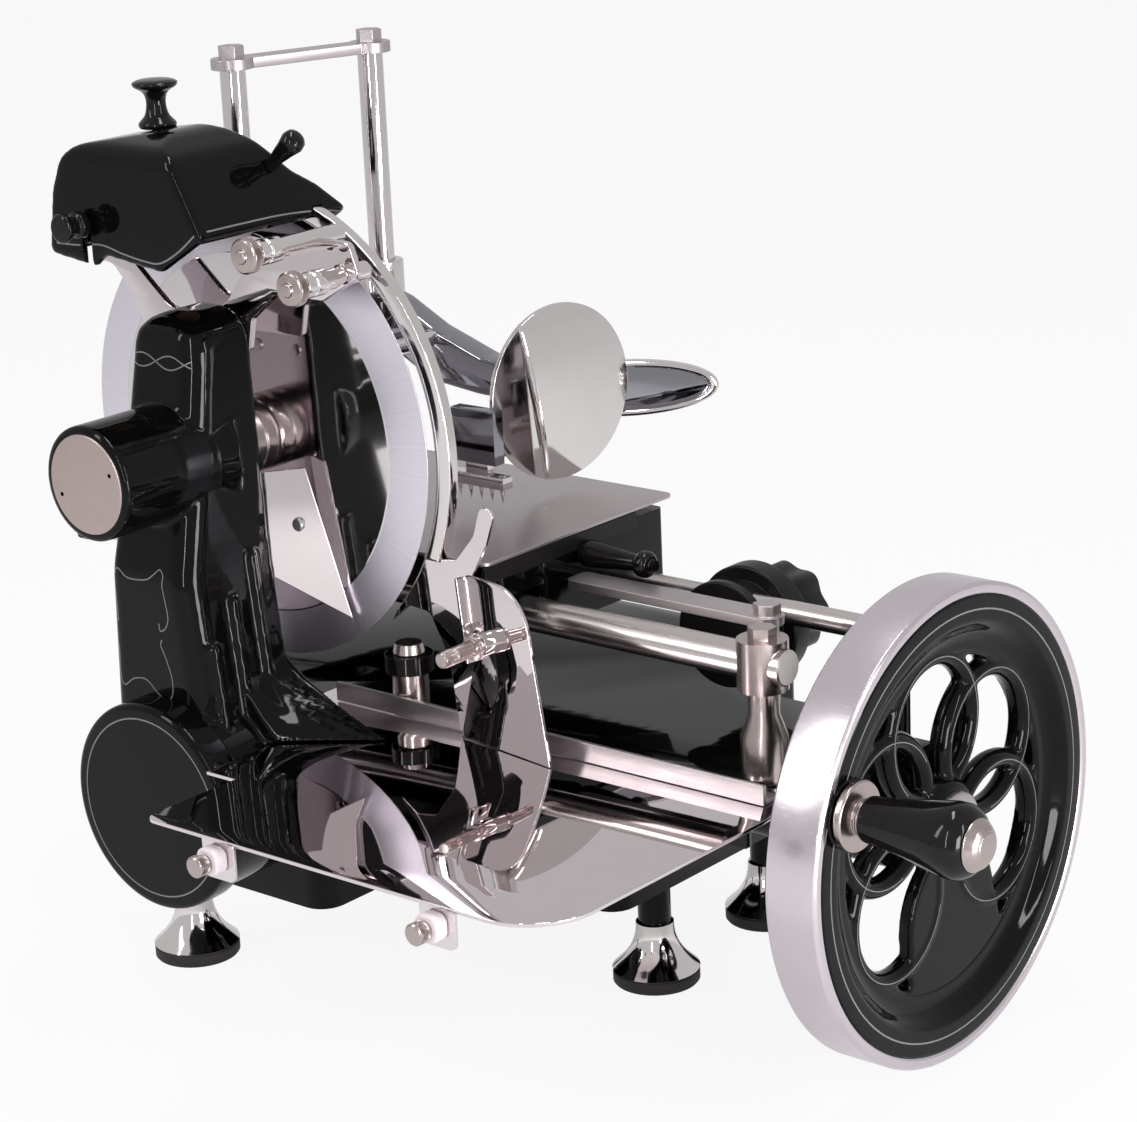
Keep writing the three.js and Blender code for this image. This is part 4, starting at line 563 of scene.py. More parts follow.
def dressed(node, material, edge=0.4, smooth=35):
    """The solid's own mesh as a new piece with a finish."""
    mesh = frame["nodes"][node].data.copy()
    edit = bmesh.new()
    edit.from_mesh(mesh)
    bmesh.ops.remove_doubles(edit, verts=edit.verts, dist=1e-5)
    bmesh.ops.dissolve_limit(edit, angle_limit=np.radians(0.5), verts=edit.verts, edges=edit.edges)
    edit.to_mesh(mesh)
    edit.free()
    mesh.materials.clear()
    piece = finished_mesh(node + "_skin", mesh, smooth, recalculate=False)
    if edge:
        edged(piece, edge, 40).harden_normals = True
    piece.data.materials.append(material)
    return stands_for(piece, node)


def copied(node):
    """The solid's own mesh in a new object."""
    mesh = frame["nodes"][node].data.copy()
    mesh.materials.clear()
    return finished_mesh(node + "_copy", mesh, 35, recalculate=False)


def dress(piece, material, *nodes):
    """Gives a new piece its finish and the solids that it stands for."""
    piece.data.materials.clear()
    piece.data.materials.append(material)
    return stands_for(piece, *nodes)


# %% [markdown]
# The flywheel is the showpiece. A steel hoop with a thin chamfer goes round a black dish. Its web
# is six overlapping bands with a domed section, cast as one skin, and their crossings leave the
# pointed petals open.

# %% Flywheel
WHEEL = (381.7, 106.9, -183.0)
RINGS, RING_CENTRE, RING_MEAN, RING_TURN, FILLED = 6, 54.0, 38.0, 38.0, 4
BAND_MIDDLE, BAND_THICK, BAND_WIDE = -14.2, 6.2, 5.4
LEDGE, LEDGE_RADIUS, FILLING_DEEP, FILLING_RADIUS, FILLING_INNER = -8.8, 97.0, -17.0, 93.0, 40.0
CRANK_RADIUS, CRANK_TURN, GRIP_BORE, GRIP_START, GRIP_END = 105.0, 158.0, 5.4, 11.3, 72.3
BLACK_PARTS = ("base", "case", "cover", "hood", "wheel", "saddle")
black = {part: enamel(part + "_enamel") for part in BLACK_PARTS}


def about_wheel(radius, degrees):
    """A place on the wheel's face: middle + (0, r cos t, r sin t)."""
    turn = np.radians(degrees)
    return np.add(WHEEL, (0, radius * np.cos(turn), radius * np.sin(turn)))


hoop = [(-29, 121.2), (-30.4, 122.5), (-30.4, 126.6), (-29.2, 127.6)]
hoop += [(-1.5, 127.6), (0, 125.9), (0, 122.6), (-1, 121.2)]
hoop_steel = polished("hoop_steel", shade(0.70, 0.635, 0.685), 0.2)
dress(turned("wheel_hoop", closed(hoop), "x", WHEEL, 0.3, 220), hoop_steel, "flywheel")
dish = [(-1, 121.1), (-0.5, 120.4), (-0.5, 107.5), (-2.6, 104.6), (-6.5, 100.5), (-8.4, 95.5)]
dish += [(-8.4, 89.5), (-20.8, 89.5), (-21, 105), (-29.6, 113), (-29.6, 121.1)]
dress(turned("wheel_dish", closed(dish), "x", WHEEL, 1.6, 200), black["wheel"], "flywheel")


def filling(turn):
    """The filled ring: a sector that runs out to the ledge, hollowed towards the hub."""
    angle = np.radians(turn)
    _, across, up = np.subtract(about_wheel(RING_CENTRE, turn), WHEEL)
    outer = arc(FILLING_RADIUS, angle - 0.5, angle + 0.5, 20)
    inner = arc(FILLING_INNER, angle + np.pi / 2, angle + 3 * np.pi / 2, 30, across, up)
    ring = np.vstack([outer, inner]) + WHEEL[1:]
    return slab("filling", [ring], "x", WHEEL[0] + FILLING_DEEP, WHEEL[0] + LEDGE, 1.0)


loop = np.linspace(0, 2 * np.pi, 41)
band = [BAND_MIDDLE + BAND_THICK * np.sin(loop), RING_MEAN + BAND_WIDE * np.cos(loop)]
ring_turns = [RING_TURN + 360 / RINGS * ring for ring in range(RINGS)]
web = []
for ring, turn in enumerate(ring_turns):
    if ring == FILLED:
        web.append(filling(turn))
    else:
        web.append(turned(f"band_{ring}", np.stack(band, -1), "x", about_wheel(RING_CENTRE, turn), 0, 120))
ledge = [(-20.6, 88), (-20.6, LEDGE_RADIUS), (LEDGE, LEDGE_RADIUS), (LEDGE, 88)]
web.append(turned("ledge", closed(ledge), "x", WHEEL, 0, 180))
boss = [(-25.5, 0), (-25.5, 24), (-10, 25), (-5, 22.5), (-3.6, 20), (-3.6, 0)]
web.append(turned("boss", boss, "x", WHEEL, 0, 90))
dress(cast("wheel_web", web, 1.15, 5), black["wheel"], "flywheel")
crank = about_wheel(CRANK_RADIUS, CRANK_TURN)
pad = [(-21, 0), (-21, 18.8), (-3, 18.8), (0.4, 17.2), (2, 13.4), (2, 0)]
dress(turned("crank_pad", pad, "x", crank, 0.6), black["wheel"], "flywheel")
cap = [(-3.9, 0), (-3.9, 18.6), (-0.6, 18.6), (0.6, 17.6), (1.6, 12), (2, 0)]
dress(turned("hub_cap", cap, "x", WHEEL, 0.5), satin_steel, "wheel_shaft")
dressed("wheel_shaft", hidden_steel, 0.2)

collar = [(2.3, 0), (2.3, 17.4), (3.1, 18.2), (6, 18.2), (6.8, 17.4), (7, 9.2), (8.6, 9.2), (8.8, 9.9)]
collar += [(9.4, 9.9), (9.6, 9.2), (11, 9.2), (11, 5), (72.6, 5), (72.6, 13.4), (73.6, 13.2)]
collar += [(77, 10.6), (78.6, 8.4), (78.7, 7.6), (79.3, 7.2), (79.3, 0)]
dress(turned("crank_pin_skin", collar, "x", crank, 0.35, 96), turned_steel, "crank_pin")
grip = [(GRIP_START, 10.2), (12.2, 11.6), (16, 12), (28, 13.3), (42, 15.5), (53, 17.8), (61, 19), (66, 18.6)]
grip = curved(grip + [(70, 16.4), (72, 14.2), (GRIP_END, 13.2)], 5)
grip = closed([(GRIP_START, GRIP_BORE), *grip, (GRIP_END, GRIP_BORE)])
dress(turned("crank_grip_skin", grip, "x", crank, 0, 120), gloss_resin, "crank_grip")

# %% [markdown]
# The chain case is a tall column that widens into a round foot. Its rows come from one table, and
# the column, the foot, the hub and the web that flares on to the tray are cast as one skin.

# %% Chain case
CASE_BACK, CASE_DEEP, CASE_TOP, CASE_HALF, CASE_WALL = -26.0, 64.0, 77.0, 40.0, 3.4
FOOT_FRONT, FOOT_RADIUS, HUB_FRONT = -90.0, 55.0, -125.6
DRIVE, SHAFT = (8.0, 0.0, -183.0), (0.0, 0.0, 0.0)
FLARE_TOP, FLARE_HIGH, FLARE_SIDE, RIB = -102.0, 47.4, 22.0, 3.0
case_table = np.array([
    [1, 0.2, 0.34, 0.2], [0.994, 0.34, 0.44, 0.1], [0.985, 0.46, 0.54, 0.04], [0.965, 0.57, 0.6, 0.005],
    [0.94, 0.62, 0.62, 0], [0.9, 0.64, 0.64, 0], [0.67, 0.70, 0.81, 0], [0.475, 0.76, 1, 0],
    [0.2, 0.9, 1, 0], [0, 1, 1, 0], [-0.05, 0.9, 0.97, 0],
])[::-1]


def case_row(up):
    """Middle, half width, front and back at a share of the height, read between the table's rows."""
    half, front, back = (np.interp(up, case_table[:, 0], case_table[:, i]) for i in (1, 2, 3))
    middle = DRIVE[0] * (1 - max(up, 0) / 0.5) * 0.5 if up < 0.5 else 0.0
    return middle, CASE_HALF * half, CASE_BACK - CASE_DEEP * front, CASE_BACK - CASE_DEEP * back


def case_height(up):
    """Foot + (top - foot) x share, in millimetres."""
    return DRIVE[2] + (CASE_TOP - DRIVE[2]) * up


def lofted(name, rings):
    """Rings of equally many places, one above the other, closed at both ends."""
    rings = np.array(rings)
    rows, columns = rings.shape[:2]
    ends = [list(range(columns)), list(range((rows - 1) * columns, rows * columns))]
    return mesh_object(name, rings.reshape(-1, 3), [*grid_faces(rows, columns).tolist(), *ends])


def tube(name, path, radius):
    """A round bar along a path: place + r (side cos t + over sin t), square to the way it runs."""
    path = np.array(path, float)
    way = np.gradient(path, axis=0)
    way /= np.linalg.norm(way, axis=1)[:, None]
    side = np.cross(way, (0.3, 0.8, 0.52))
    side /= np.linalg.norm(side, axis=1)[:, None]
    over = np.cross(way, side)
    turn = np.linspace(0, 2 * np.pi, 12, endpoint=False)[None, :, None]
    around_it = np.cos(turn) * side[:, None] + np.sin(turn) * over[:, None]
    return lofted(name, path[:, None] + radius * around_it)


def column(name, inset=0.0, start=-0.05, end=1.0, front_at=None, back_at=CASE_BACK):
    """The column between two shares of its height, drawn in by an inset."""
    rings = []
    for up in np.concatenate([np.linspace(start, 0.9, 40), np.linspace(0.91, end, 14)]):
        middle, half, front, back = case_row(up)
        half, front, back = half - inset, front_at or front + inset, back_at
        corner = min(8, half * 0.7)
        plan = [(middle - half, front, corner), (middle + half, front, corner * 1.6)]
        plan = outline(plan + [(middle + half, back), (middle - half, back)], 8)
        rings.append(np.column_stack([plan, np.full(len(plan), case_height(up))]))
    return lofted(name, rings)


hub = [(HUB_FRONT, 0), (HUB_FRONT, 29.6), (-124, 31), (-58, 31), (-44, 34), (-44, 0)]
case_parts = [column("column"), rod("foot", "y", DRIVE, FOOT_FRONT, CASE_BACK, FOOT_RADIUS, 120)]
case_parts.append(turned("hub", hub, "y", SHAFT, 0, 96))
flare = []
for down in np.linspace(0, 1, 22):
    reach, nose = 9 + 81 * down**1.8, 9 + 29 * down**1.4
    corners = [(20, -62), (FLARE_SIDE + nose, -62), (FLARE_SIDE + (nose + reach) / 2 - 4, -47)]
    corners += [(FLARE_SIDE + reach, -26.5), (20, -26.5)]
    flare.append([(x, y, FLARE_TOP - FLARE_HIGH * down) for x, y in corners])
case_parts.append(lofted("flare", flare))
for y, start in ((-78, 0.34), (-60, 0.42), (-42, 0.5)):
    path = []
    for up in np.linspace(start, 0.06, 24):
        middle, half, *_ = case_row(up)
        path.append((middle + half + 0.4, y, case_height(up)))
    case_parts.append(tube("rib", path, RIB))
rooms = [column("room", CASE_WALL, -0.03, 0.965, back_at=-20.0)]
rooms.append(rod("foot_room", "y", DRIVE, -86.8, -20, 51.6, 120))
rooms.append(rod("shaft_room", "y", SHAFT, -123.4, -20, 16.5, 60))
rooms.append(rod("disc_seat", "y", SHAFT, -128, -123.5, 27, 120))
case_skin = joined(cast("case_skin", case_parts, 1.35, 5), rooms, "DIFFERENCE", 50)
dress(case_skin, black["case"], "chain_case")

plate_steel = polished("back_plate_steel", shade(0.55, 0.49, 0.51), 0.16)
plate = column("back_plate_skin", 3.7, -0.02, 0.955, -29.0, -26.1)
plate = joined(plate, [rod("round", "y", DRIVE, -29, -26.1, 51.2, 120)], "UNION")
bores = [rod("bore", "y", middle, -40, -20, radius) for radius, middle in ((16, SHAFT), (14, DRIVE))]
dress(joined(plate, bores, "DIFFERENCE"), plate_steel, "case_back_plate")
back_screw = [(-26.2, 0), (-26.2, 3.6), (-25.4, 3.2), (-25, 0)]
for x, z in ((-15, 44), (15, 44), (-22, -70), (24, -70)):
    dress(turned("back_screw", back_screw, "y", (x, 0, z), 0.1, 32), turned_steel, "case_back_plate")
cover = [(-90.3, 0), (-90.3, 57.9), (-105, 57.9), (-106.8, 57), (-107.7, 55), (-107.9, 50), (-107.9, 0)]
dress(turned("cover_skin", cover, "y", DRIVE, 0.8, 160), black["cover"], "chain_cover")

# %% [markdown]
# The blade is a disc with a mirror in the middle and a pale ground bevel round it. One turned piece
# would do for the form, but not for the two surfaces, so the finish itself works out how far a
# place is from the middle and changes there. The guard is a polished bow over the edge.

# %% Blade
BORE, SLEEVE, BEVEL_START = 8.3, 21.0, 100.2
BLADE_RADIUS, BLADE_FACE = 125.0, -3.4
GUARD_INNER, GUARD_OUTER, GUARD_START, GUARD_TIP, GUARD_END = 127.0, 137.0, -23.7, 116.0, -25.6


def blade_finish():
    """Radius = root of x^2 + z^2. Past the bevel the streaks are a noise of the angle alone."""
    finish = Finish("blade_steel")
    x, _, z = finish.parts(finish.place())
    radius = (x * x + z * z) ** 0.5
    bevel = radius.above(BEVEL_START, 0.3)
    turn = finish.add("ShaderNodeMath", {"operation": "ARCTAN2"}, (x, z))[0]
    one_way = {"noise_dimensions": "1D"}
    streaks = finish.add("ShaderNodeTexNoise", one_way, W=turn * 60.0, Scale=1.0, Detail=6.0)
    streaks = streaks["Fac"]
    cloud = finish.noise(16.0, detail=2.0)
    inner = finish.blend(cloud, shade(0.72, 0.68, 0.69), shade(0.64, 0.60, 0.62))
    outer = finish.blend(streaks, shade(0.80, 0.76, 0.84), shade(0.70, 0.66, 0.75))
    return finish.done(
        Base_Color=finish.blend(bevel, inner, outer),
        Metallic=1.0,
        Roughness=0.05 + cloud * 0.03 + bevel * (0.24 + streaks * 0.12),
        Normal=finish.bump(streaks * bevel, 0.006),
    )


blade_edge = [(BLADE_FACE, BORE), (BLADE_FACE, 99.6), (-3.2, 100.4), (-0.7, BLADE_RADIUS), (0, BLADE_RADIUS)]
blade_edge = closed(blade_edge + [(-1.2, 100), (-1.2, BORE)])
dress(turned("blade_skin", blade_edge, "y", SHAFT, 0.15, 240), blade_finish(), "blade")
sleeve = [(-25.7, BORE), (-25.7, SLEEVE), (-15, SLEEVE), (-14.6, 20.2), (-13.4, 20.2), (-13, SLEEVE)]
sleeve += [(-6, SLEEVE), (-3.7, 20.4), (-3.7, BORE)]
dress(turned("sleeve_skin", closed(sleeve), "y", SHAFT, 0.25, 120), turned_steel, "blade_hub")
hub_disc = [(-126, 0), (-126, 26.2), (-125.4, 26.8), (-123.7, 26.8), (-123.7, 0)]
dress(turned("hub_disc_skin", hub_disc, "y", SHAFT, 0.1, 120), hub_steel, "hub_disc")
hub_screw = [(HUB_FRONT, 0), (HUB_FRONT, 1.6), (-126, 1.2), (-126, 0)]
for x, z in ((-19, -7.5), (19, 7.5)):
    dress(turned("hub_screw", hub_screw, "y", (x, 0, z), 0, 24), hidden_steel, "hub_disc")
start, tip, end = np.radians([GUARD_START, GUARD_TIP, GUARD_END])
bow = np.vstack([arc(GUARD_OUTER, start, tip, 180), arc(GUARD_INNER, tip, end, 180)])
dress(slab("guard_skin", [bow], "y", 3, 10, 0.8), polished_steel, "guard_ring")

# %% [markdown]
# The hood is one drawn shell. Its form is where a front outline and a side outline agree; it is
# cast for soft edges, hollowed, and slotted for the stone's spindle.

# %% Sharpener hood
HOOD = dict(left=-66.0, wide=118.0, bottom=100.0, high=76.0, front=-80.0, deep=112.0)
front_shares = [(0, 0.1, 4), (0.05, 0.55, 14), (0.14, 0.86, 22), (0.42, 0.93, 40), (0.64, 0.98, 30)]
front_shares += [(0.82, 0.84, 16), (1, 0.32, 3), (0.72, 0.06, 5), (0.36, 0.13, 8), (0.3, 0.04, 5)]
side_shares = [(0, 0), (0, 0.88, 12), (0.3, 1, 24), (0.52, 0.96, 24), (0.72, 0.62, 6), (0.84, 0.5, 12)]
side_shares += [(1, 0.26, 4), (0.96, 0.1, 4), (0.6, 0)]


def hood_form(name, inset):
    """The form that both outlines allow, drawn in by an inset and left open below."""
    left, wide = HOOD["left"] + inset, HOOD["wide"] - 2 * inset
    near, deep = HOOD["front"] + inset, HOOD["deep"] - 2 * inset
    bottom, high = HOOD["bottom"] - (inset > 0) * 1.5, HOOD["high"] - inset
    front = outline([(left + u * wide, bottom + v * high, *r) for u, v, *r in front_shares], 12)
    side = outline([(near + u * deep, bottom + v * high, *r) for u, v, *r in side_shares], 12)
    body = slab(name, [front], "y", near, near + deep, 0.01)
    return joined(body, [slab("side", [side], "x", left - 5, left + wide + 5, 0.01)], "INTERSECT")


shell = cast("hood_skin", [hood_form("hood_solid", 0)], 1.3, 22)
rooms = [hood_form("hood_room", 3.2)]
rooms.append(block("spindle_slot", (-38.6, -31.4), (-90, -70), (60, 129.5), 0.01))
rooms.append(rod("blade_room", "y", SHAFT, -6, 3.5, BLADE_RADIUS + 2.5, 120))
rooms.append(rod("guard_room", "y", SHAFT, 2.6, 10.4, GUARD_OUTER + 0.6, 120))
rooms.append(block("bracket_room", (-96, 125), (-26.2, -21.2), (0, 120.6), 0.01))
dress(joined(shell, rooms, "DIFFERENCE", 50), black["hood"], "sharpener_hood")

leaf = [(-94, 92, 5), (-78, 91, 10), (-64, 76, 14), (-55, 57, 10), (-24, 53, 3), (24, 53, 3), (28, 71, 4)]
leaf += [(47, 86, 4), (81, 86, 4), (108, 101, 5), (102, 118.6, 5), (32, 118.6, 5), (24, 96, 10)]
leaf += [(8, 76, 16), (-32, 69, 20), (-50, 84, 12), (-78, 108, 5), (-94, 108, 5)]
dress(slab("bracket_skin", [outline(leaf, 12)], "y", -25.7, -21.7, 0.5), sheet_steel, "sharpener_bracket")
spindle = rod("bracket_spindle", "y", (-84, 0, 101), -25.6, 13.4, 3.4, 40, edge=0.2)
dress(spindle, turned_steel, "sharpener_bracket")

plate_screw = [(-1.2, 0), (-1.2, 3.2), (0, 3.8), (1.2, 3.2), (1.6, 0)]
dress(turned("plate_screw", plate_screw, "y", (43, -17.2, -42), 0.2, 32), hidden_steel, "slice_plate")

# %% [markdown]
# The knobs are waisted spools, so a few places along the profile and a smooth curve through them do
# better than many points. Each stone is a plain wheel on its spindle. The studs' heads are knurled,
# which is a fast ripple of the radius between two places.

# %% Knobs, stones and studs
NEAR_STONE, FAR_STONE, STONE_HALF, STONE_BORE = (-35, -18, 126), (-84, 9, 101), 4.5, 3.5
MUSHROOM, BOBBIN = (-28, -30, 0), (-35, 0, 126)


def knob_top(node):
    """The height of a node's top, in millimetres from the blade's middle."""
    return (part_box(node)[1].z - BLADE[2]) / MM


spool = [(-26, 9.4), (-25.2, 10), (-23.4, 10), (-21.8, 8.6), (-19, 6.4), (-14, 5.3), (-9.4, 5.7), (-6.6, 7.6)]
spool += [(-4.6, 10.9), (-3.2, 12), (-1.8, 11.7), (-0.5, 8), (0, 0)]
spool = curved(spool, 5) + (knob_top("mushroom_knob"), 0)
foot = spool[0, 0]
spool = np.vstack([(foot - 12, 0), (foot - 12, 2.8), (foot, 2.8), spool])
dress(turned("mushroom_skin", spool, "z", MUSHROOM, 0, 96), gloss_resin, "mushroom_knob")
dressed("cone_knob", gloss_resin, 0.3, 50)
bobbin = [(-98, 0), (-98, 6.6), (-97, 7.8), (-94.6, 7.8), (-93.4, 6.2), (-91.6, 5.2), (-88, 5.2), (-87, 7)]
bobbin += [(-83.6, 7.4), (-82.4, 6.4), (-80.4, 5.4), (-80.4, 3.1), (-27, 3.1), (-27, 0)]
dress(turned("bobbin_skin", bobbin, "y", BOBBIN, 0.5, 72), gloss_resin, "bobbin_knob")
for node, middle, radius in (("near_stone", NEAR_STONE, 20), ("far_stone", FAR_STONE, 15)):
    wheel = [(-STONE_HALF, STONE_BORE), (-STONE_HALF, radius - 0.8), (-3.7, radius), (3.7, radius)]
    wheel = closed(wheel + [(STONE_HALF, radius - 0.8), (STONE_HALF, STONE_BORE)])
    dress(turned(node + "_skin", wheel, "y", middle, 0.3, 96), brown_stone, node)
knurl = [(-3, 0), (-3, 3.2), (-2.6, 3.6), (-1, 3.8), (-0.6, 8.2), (0.4, 9.3), (5, 9.3), (6, 8.2), (6, 0)]
bar = [(6, 0), (6, 5.2), (8, 5.2), (8.2, 6.8), (14, 6.8), (14.3, 6), (15.2, 6), (15.5, 6.8)]
bar += [(24, 6.8), (24.4, 5.3)]
bar_end = [(-26, 5.3), (-2.6, 5.3), (-2, 4.8), (-2, 0)]
for node, x, z, front in (("low_stud", 90, 99, -58), ("high_stud", 73, 117, -72)):
    ripple = (50, 0.6, front + 0.5, front + 5)
    head = turned(node + "_head", np.add(knurl, (front, 0)), "y", (x, 0, z), 0.2, 200, ripple)
    dress(head, turned_steel, node)
    profile = np.vstack([np.add(bar, (front, 0)), bar_end])
    dress(turned(node + "_bar", profile, "y", (x, 0, z), 0.3, 64), polished_steel, node)

# %% [markdown]
# The tray is a polished sheet that mirrors everything above it, so it is kept perfectly flat: one
# outline with a thickness does it. The bell feet are turned, and the same finish gives them steel
# above and a rubber ring below, by the height of a place.

# %% Tray and feet
TRAY_LEVELS, CLIPS, CLIP_HEIGHT, CLIP_BORE = (-152.0, -150.0), (128, 274), -162.0, 3.1
plan = [(80, -176, 7), (343, -176, 36), (343, 30, 7), (24, 30), (24, -25), (59, -25), (59, -112), (80, -112)]
dress(slab("tray_skin", [outline(plan, 24)], "z", *TRAY_LEVELS, 0.3), sheet_steel, "tray")
for x in CLIPS:
    tab = outline([(x - 11, -174, 4), (x + 11, -174, 4), (x + 11, -151.9), (x - 11, -151.9)])
    tab = slab("tray_tab", [tab, circle(CLIP_BORE, x, CLIP_HEIGHT, 32)], "y", -172, -170, 0.25)
    dress(tab, polished_steel, "tray")
screw = [(-189, 0), (-189, 4.4), (-188.2, 5.6), (-182.6, 5.6), (-181.8, 4.4), (-180.5, 4.4)]
screw += [(-180.3, 2.9), (-170.8, 2.9), (-170.8, 0)]
for number, x in enumerate(CLIPS, 1):
    clip = (x, 0, CLIP_HEIGHT)
    face = rectangle((x - 7, x + 7.3), (-168.8, -155.2), 5)
    nylon_block = slab(f"clip_{number}", [face], "y", -180.3, -172.3, 1.2)
    hole = rod("hole", "y", clip, -190, -160, CLIP_BORE, 32)
    dress(joined(nylon_block, [hole], "DIFFERENCE"), white_nylon, f"clip_block_{number}")
    skin = turned(f"clip_screw_{number}_skin", screw, "y", clip, 0.3, 160, (40, 0.4, -188, -182.8))
    dress(skin, turned_steel, f"clip_screw_{number}")
FOOT_PLACES = ((-68, -14), (178, 108), (-68, 214), (178, 214))
FLOOR_LEVEL, RUBBER_TOP, FOOT_TOP = -320.0, -312.2, -284.0


def foot_finish():
    """Polished steel above, and black rubber for the lowest eight millimetres."""
    finish = Finish("bell_foot")
    height = finish.parts(finish.place())[2]
    steel = height.above(RUBBER_TOP, 0.25)
    cloud = finish.noise(5.0, detail=2.0)
    return finish.done(
        Base_Color=finish.blend(steel, shade(0.012, 0.009, 0.009), STEEL),
        Metallic=steel,
        Roughness=0.62 - steel * 0.56 + cloud * 0.04,
        Normal=finish.bump(cloud, 0.01),
    )


bell_foot = foot_finish()
bell = [(FLOOR_LEVEL, 0), (FLOOR_LEVEL, 23.9), (-319, 24.7), (-313.4, 24.7), (-312.6, 24), (-311.8, 24.9)]
bell += [(-311.5 + 27 * t, 10.8 + 14 * (1 - t) ** 2.4) for t in np.linspace(0, 1, 16)[1:]]
bell += [(FOOT_TOP, 9.6), (FOOT_TOP, 0)]
for number, (x, y) in enumerate(FOOT_PLACES, 1):
    dress(turned(f"foot_{number}_skin", bell, "z", (x, y, 0), 0, 96), bell_foot, f"foot_{number}")

# %% [markdown]
# The press holds the meat: a mirror disc on the tip of a deep arm, a half lens across it, a bar of
# spikes below and a leaf as its handle. The arm, the leaf's plate and the spike box are mirrors whose
# grey colour is a painted dark reflection. All are flat plates that stand at odd angles, so each is drawn
# flat, where its outline is simple, and a matrix then leans it into its place.

# %% Press
PRESS_RODS = {"far": (-64, 62), "near": (-38, 146)}
DISC_PLACE, DISC_RADIUS, WING_PLACE, LEAF_PLACE = (89.4, 150, 1.8), 50.3, (86.8, 129, 0), (95, 203, -7)
LENS_RISE, LENS_CHORD, SPIKES, SPIKE_STEP = 31.0, 91.0, 5, 7.75
PRESS_SCREW = (0, 100, 0)


def leant(place, turn, lean=0.0):
    """A place and a turn about Z, then a lean about X, in degrees."""
    turned_by = Matrix.Rotation(np.radians(turn), 4, "Z") @ Matrix.Rotation(np.radians(lean), 4, "X")
    return Matrix.Translation(place) @ turned_by


disc = [circle(DISC_RADIUS, steps=200)]
disc = slab("disc_skin", disc, "x", -1.5, 1.5, 0.35, place=leant(DISC_PLACE, -9.2))
dress(disc, polished_steel, "press_disc")
bend = (LENS_CHORD**2 / 4 + LENS_RISE**2) / (2 * LENS_RISE)
half = np.arcsin(LENS_CHORD / 2 / bend)
wing_turn = leant(WING_PLACE, -41.3, 7.3) @ Matrix.Translation((3.2, 0, 0))
lens_plate = arc(bend, -half, half, 60, LENS_RISE - bend)
dress(slab("wing_skin", [lens_plate], "y", -1, 1, 0.3, place=wing_turn), polished_steel, "press_wing")
edge_above = [(-38, 50, 6), (-22, 45, 10), (5, 31, 20), (43, 18, 20), (86.5, 12, 3)]
edge_below = [(86.5, -6, 3), (38, -4, 20), (2, 0, 20), (-28, 16, 10), (-38, 20, 4)]
arm = slab("arm_skin", [outline(edge_above + edge_below, 12)], "y", 137, 155, 3.2)
dress(arm, steel_painted_dark_reflection, "press_arm")
collar = closed([(20, 7.6), (20, 11.6), (20.6, 12.2), (65.4, 12.2), (66, 11.6), (66, 7.6)])
for name, (x, y) in PRESS_RODS.items():
    dress(turned("sleeve_" + name, collar, "z", (x, y, 0), 0.2, 96), polished_steel, "press_arm")
run = np.subtract(PRESS_RODS["near"], PRESS_RODS["far"])
tie_turn = leant((*PRESS_RODS["far"], 0), np.degrees(np.arctan2(run[1], run[0])))
tie = rectangle((9, 79), (24, 62), 2)
dress(slab("arm_tie", [tie], "y", -4.5, 4.5, 1.2, place=tie_turn), polished_steel, "press_arm")
leaf_turn = leant(LEAF_PLACE, np.degrees(np.arctan2(0.65, 0.76)))
unit = arc(1.0, -2.05, 2.05, 90)
leaf_rim, leaf_inner = unit * (53, 16.3), unit * (48, 12.4) - (0.8, 0)
rim = slab("leaf_rim", [leaf_rim, leaf_inner], "y", -4.5, 4.5, 2.0, place=leaf_turn)
dress(rim, polished_steel, "press_tongue")
plate = slab("leaf_plate", [leaf_inner * 1.03], "y", -0.6, 2.4, 0.5, place=leaf_turn)
dress(plate, steel_painted_dark_reflection, "press_tongue")
dress(block("leaf_strut", (78, 93.5), (176, 192), (-12, -2), 1.5), polished_steel, "press_tongue")
bar_blocks = {
    "spike_holder": ((61, 100), (86, 94), (-40, -33), 0.6),
    "spike_box": ((64, 95), (86, 94), (-27, 4), 1.0),
    "spike_tie": ((70, 78), (94, 150), (-30, -22), 0.8),
    "spike_neck": ((72, 88), (87.5, 92.5), (-34, -26), 0.4),
}
bar_pieces = [block(name, *sizes) for name, sizes in bar_blocks.items()]
spike = [(-48.7, 0), (-40, 1.7), (-39, 1.7), (-39, 0)]
bar_pieces += [turned("spike", spike, "z", (65 + SPIKE_STEP * i, 90, 0), 0, 20) for i in range(SPIKES)]
for piece in bar_pieces:
    # The spike box and its tie get the steel with the painted dark reflection in its colour.
    steel = steel_painted_dark_reflection if piece.name in ("spike_box", "spike_tie") else polished_steel
    dress(piece, steel, "spike_bar")
dress(block("arm_lug", (-10, 10), (90, 141), (22, 30), 1.6, 8), polished_steel, "press_arm")
stem = [(29, 0), (29, 6.5), (33, 6.5), (33, 3.2), (44, 3.2), (44, 0)]
dress(turned("press_stem", stem, "z", PRESS_SCREW, 0.3, 48), turned_steel, "press_knob")
button = [(43, 0), (43, 6), (45, 7.6), (47, 8.6), (55, 8.8), (57.4, 7.6), (58.6, 4), (58.8, 0)]
dress(turned("press_knob_skin", button, "z", PRESS_SCREW, 0.6, 48), gloss_resin, "press_knob")

# %% [markdown]
# The deflector is a thin mirror leaf that stands on the tray and hangs on one pin. It is placed by
# a matrix, because it stands a little askew. The rail is an angle of satin sheet along the tray.

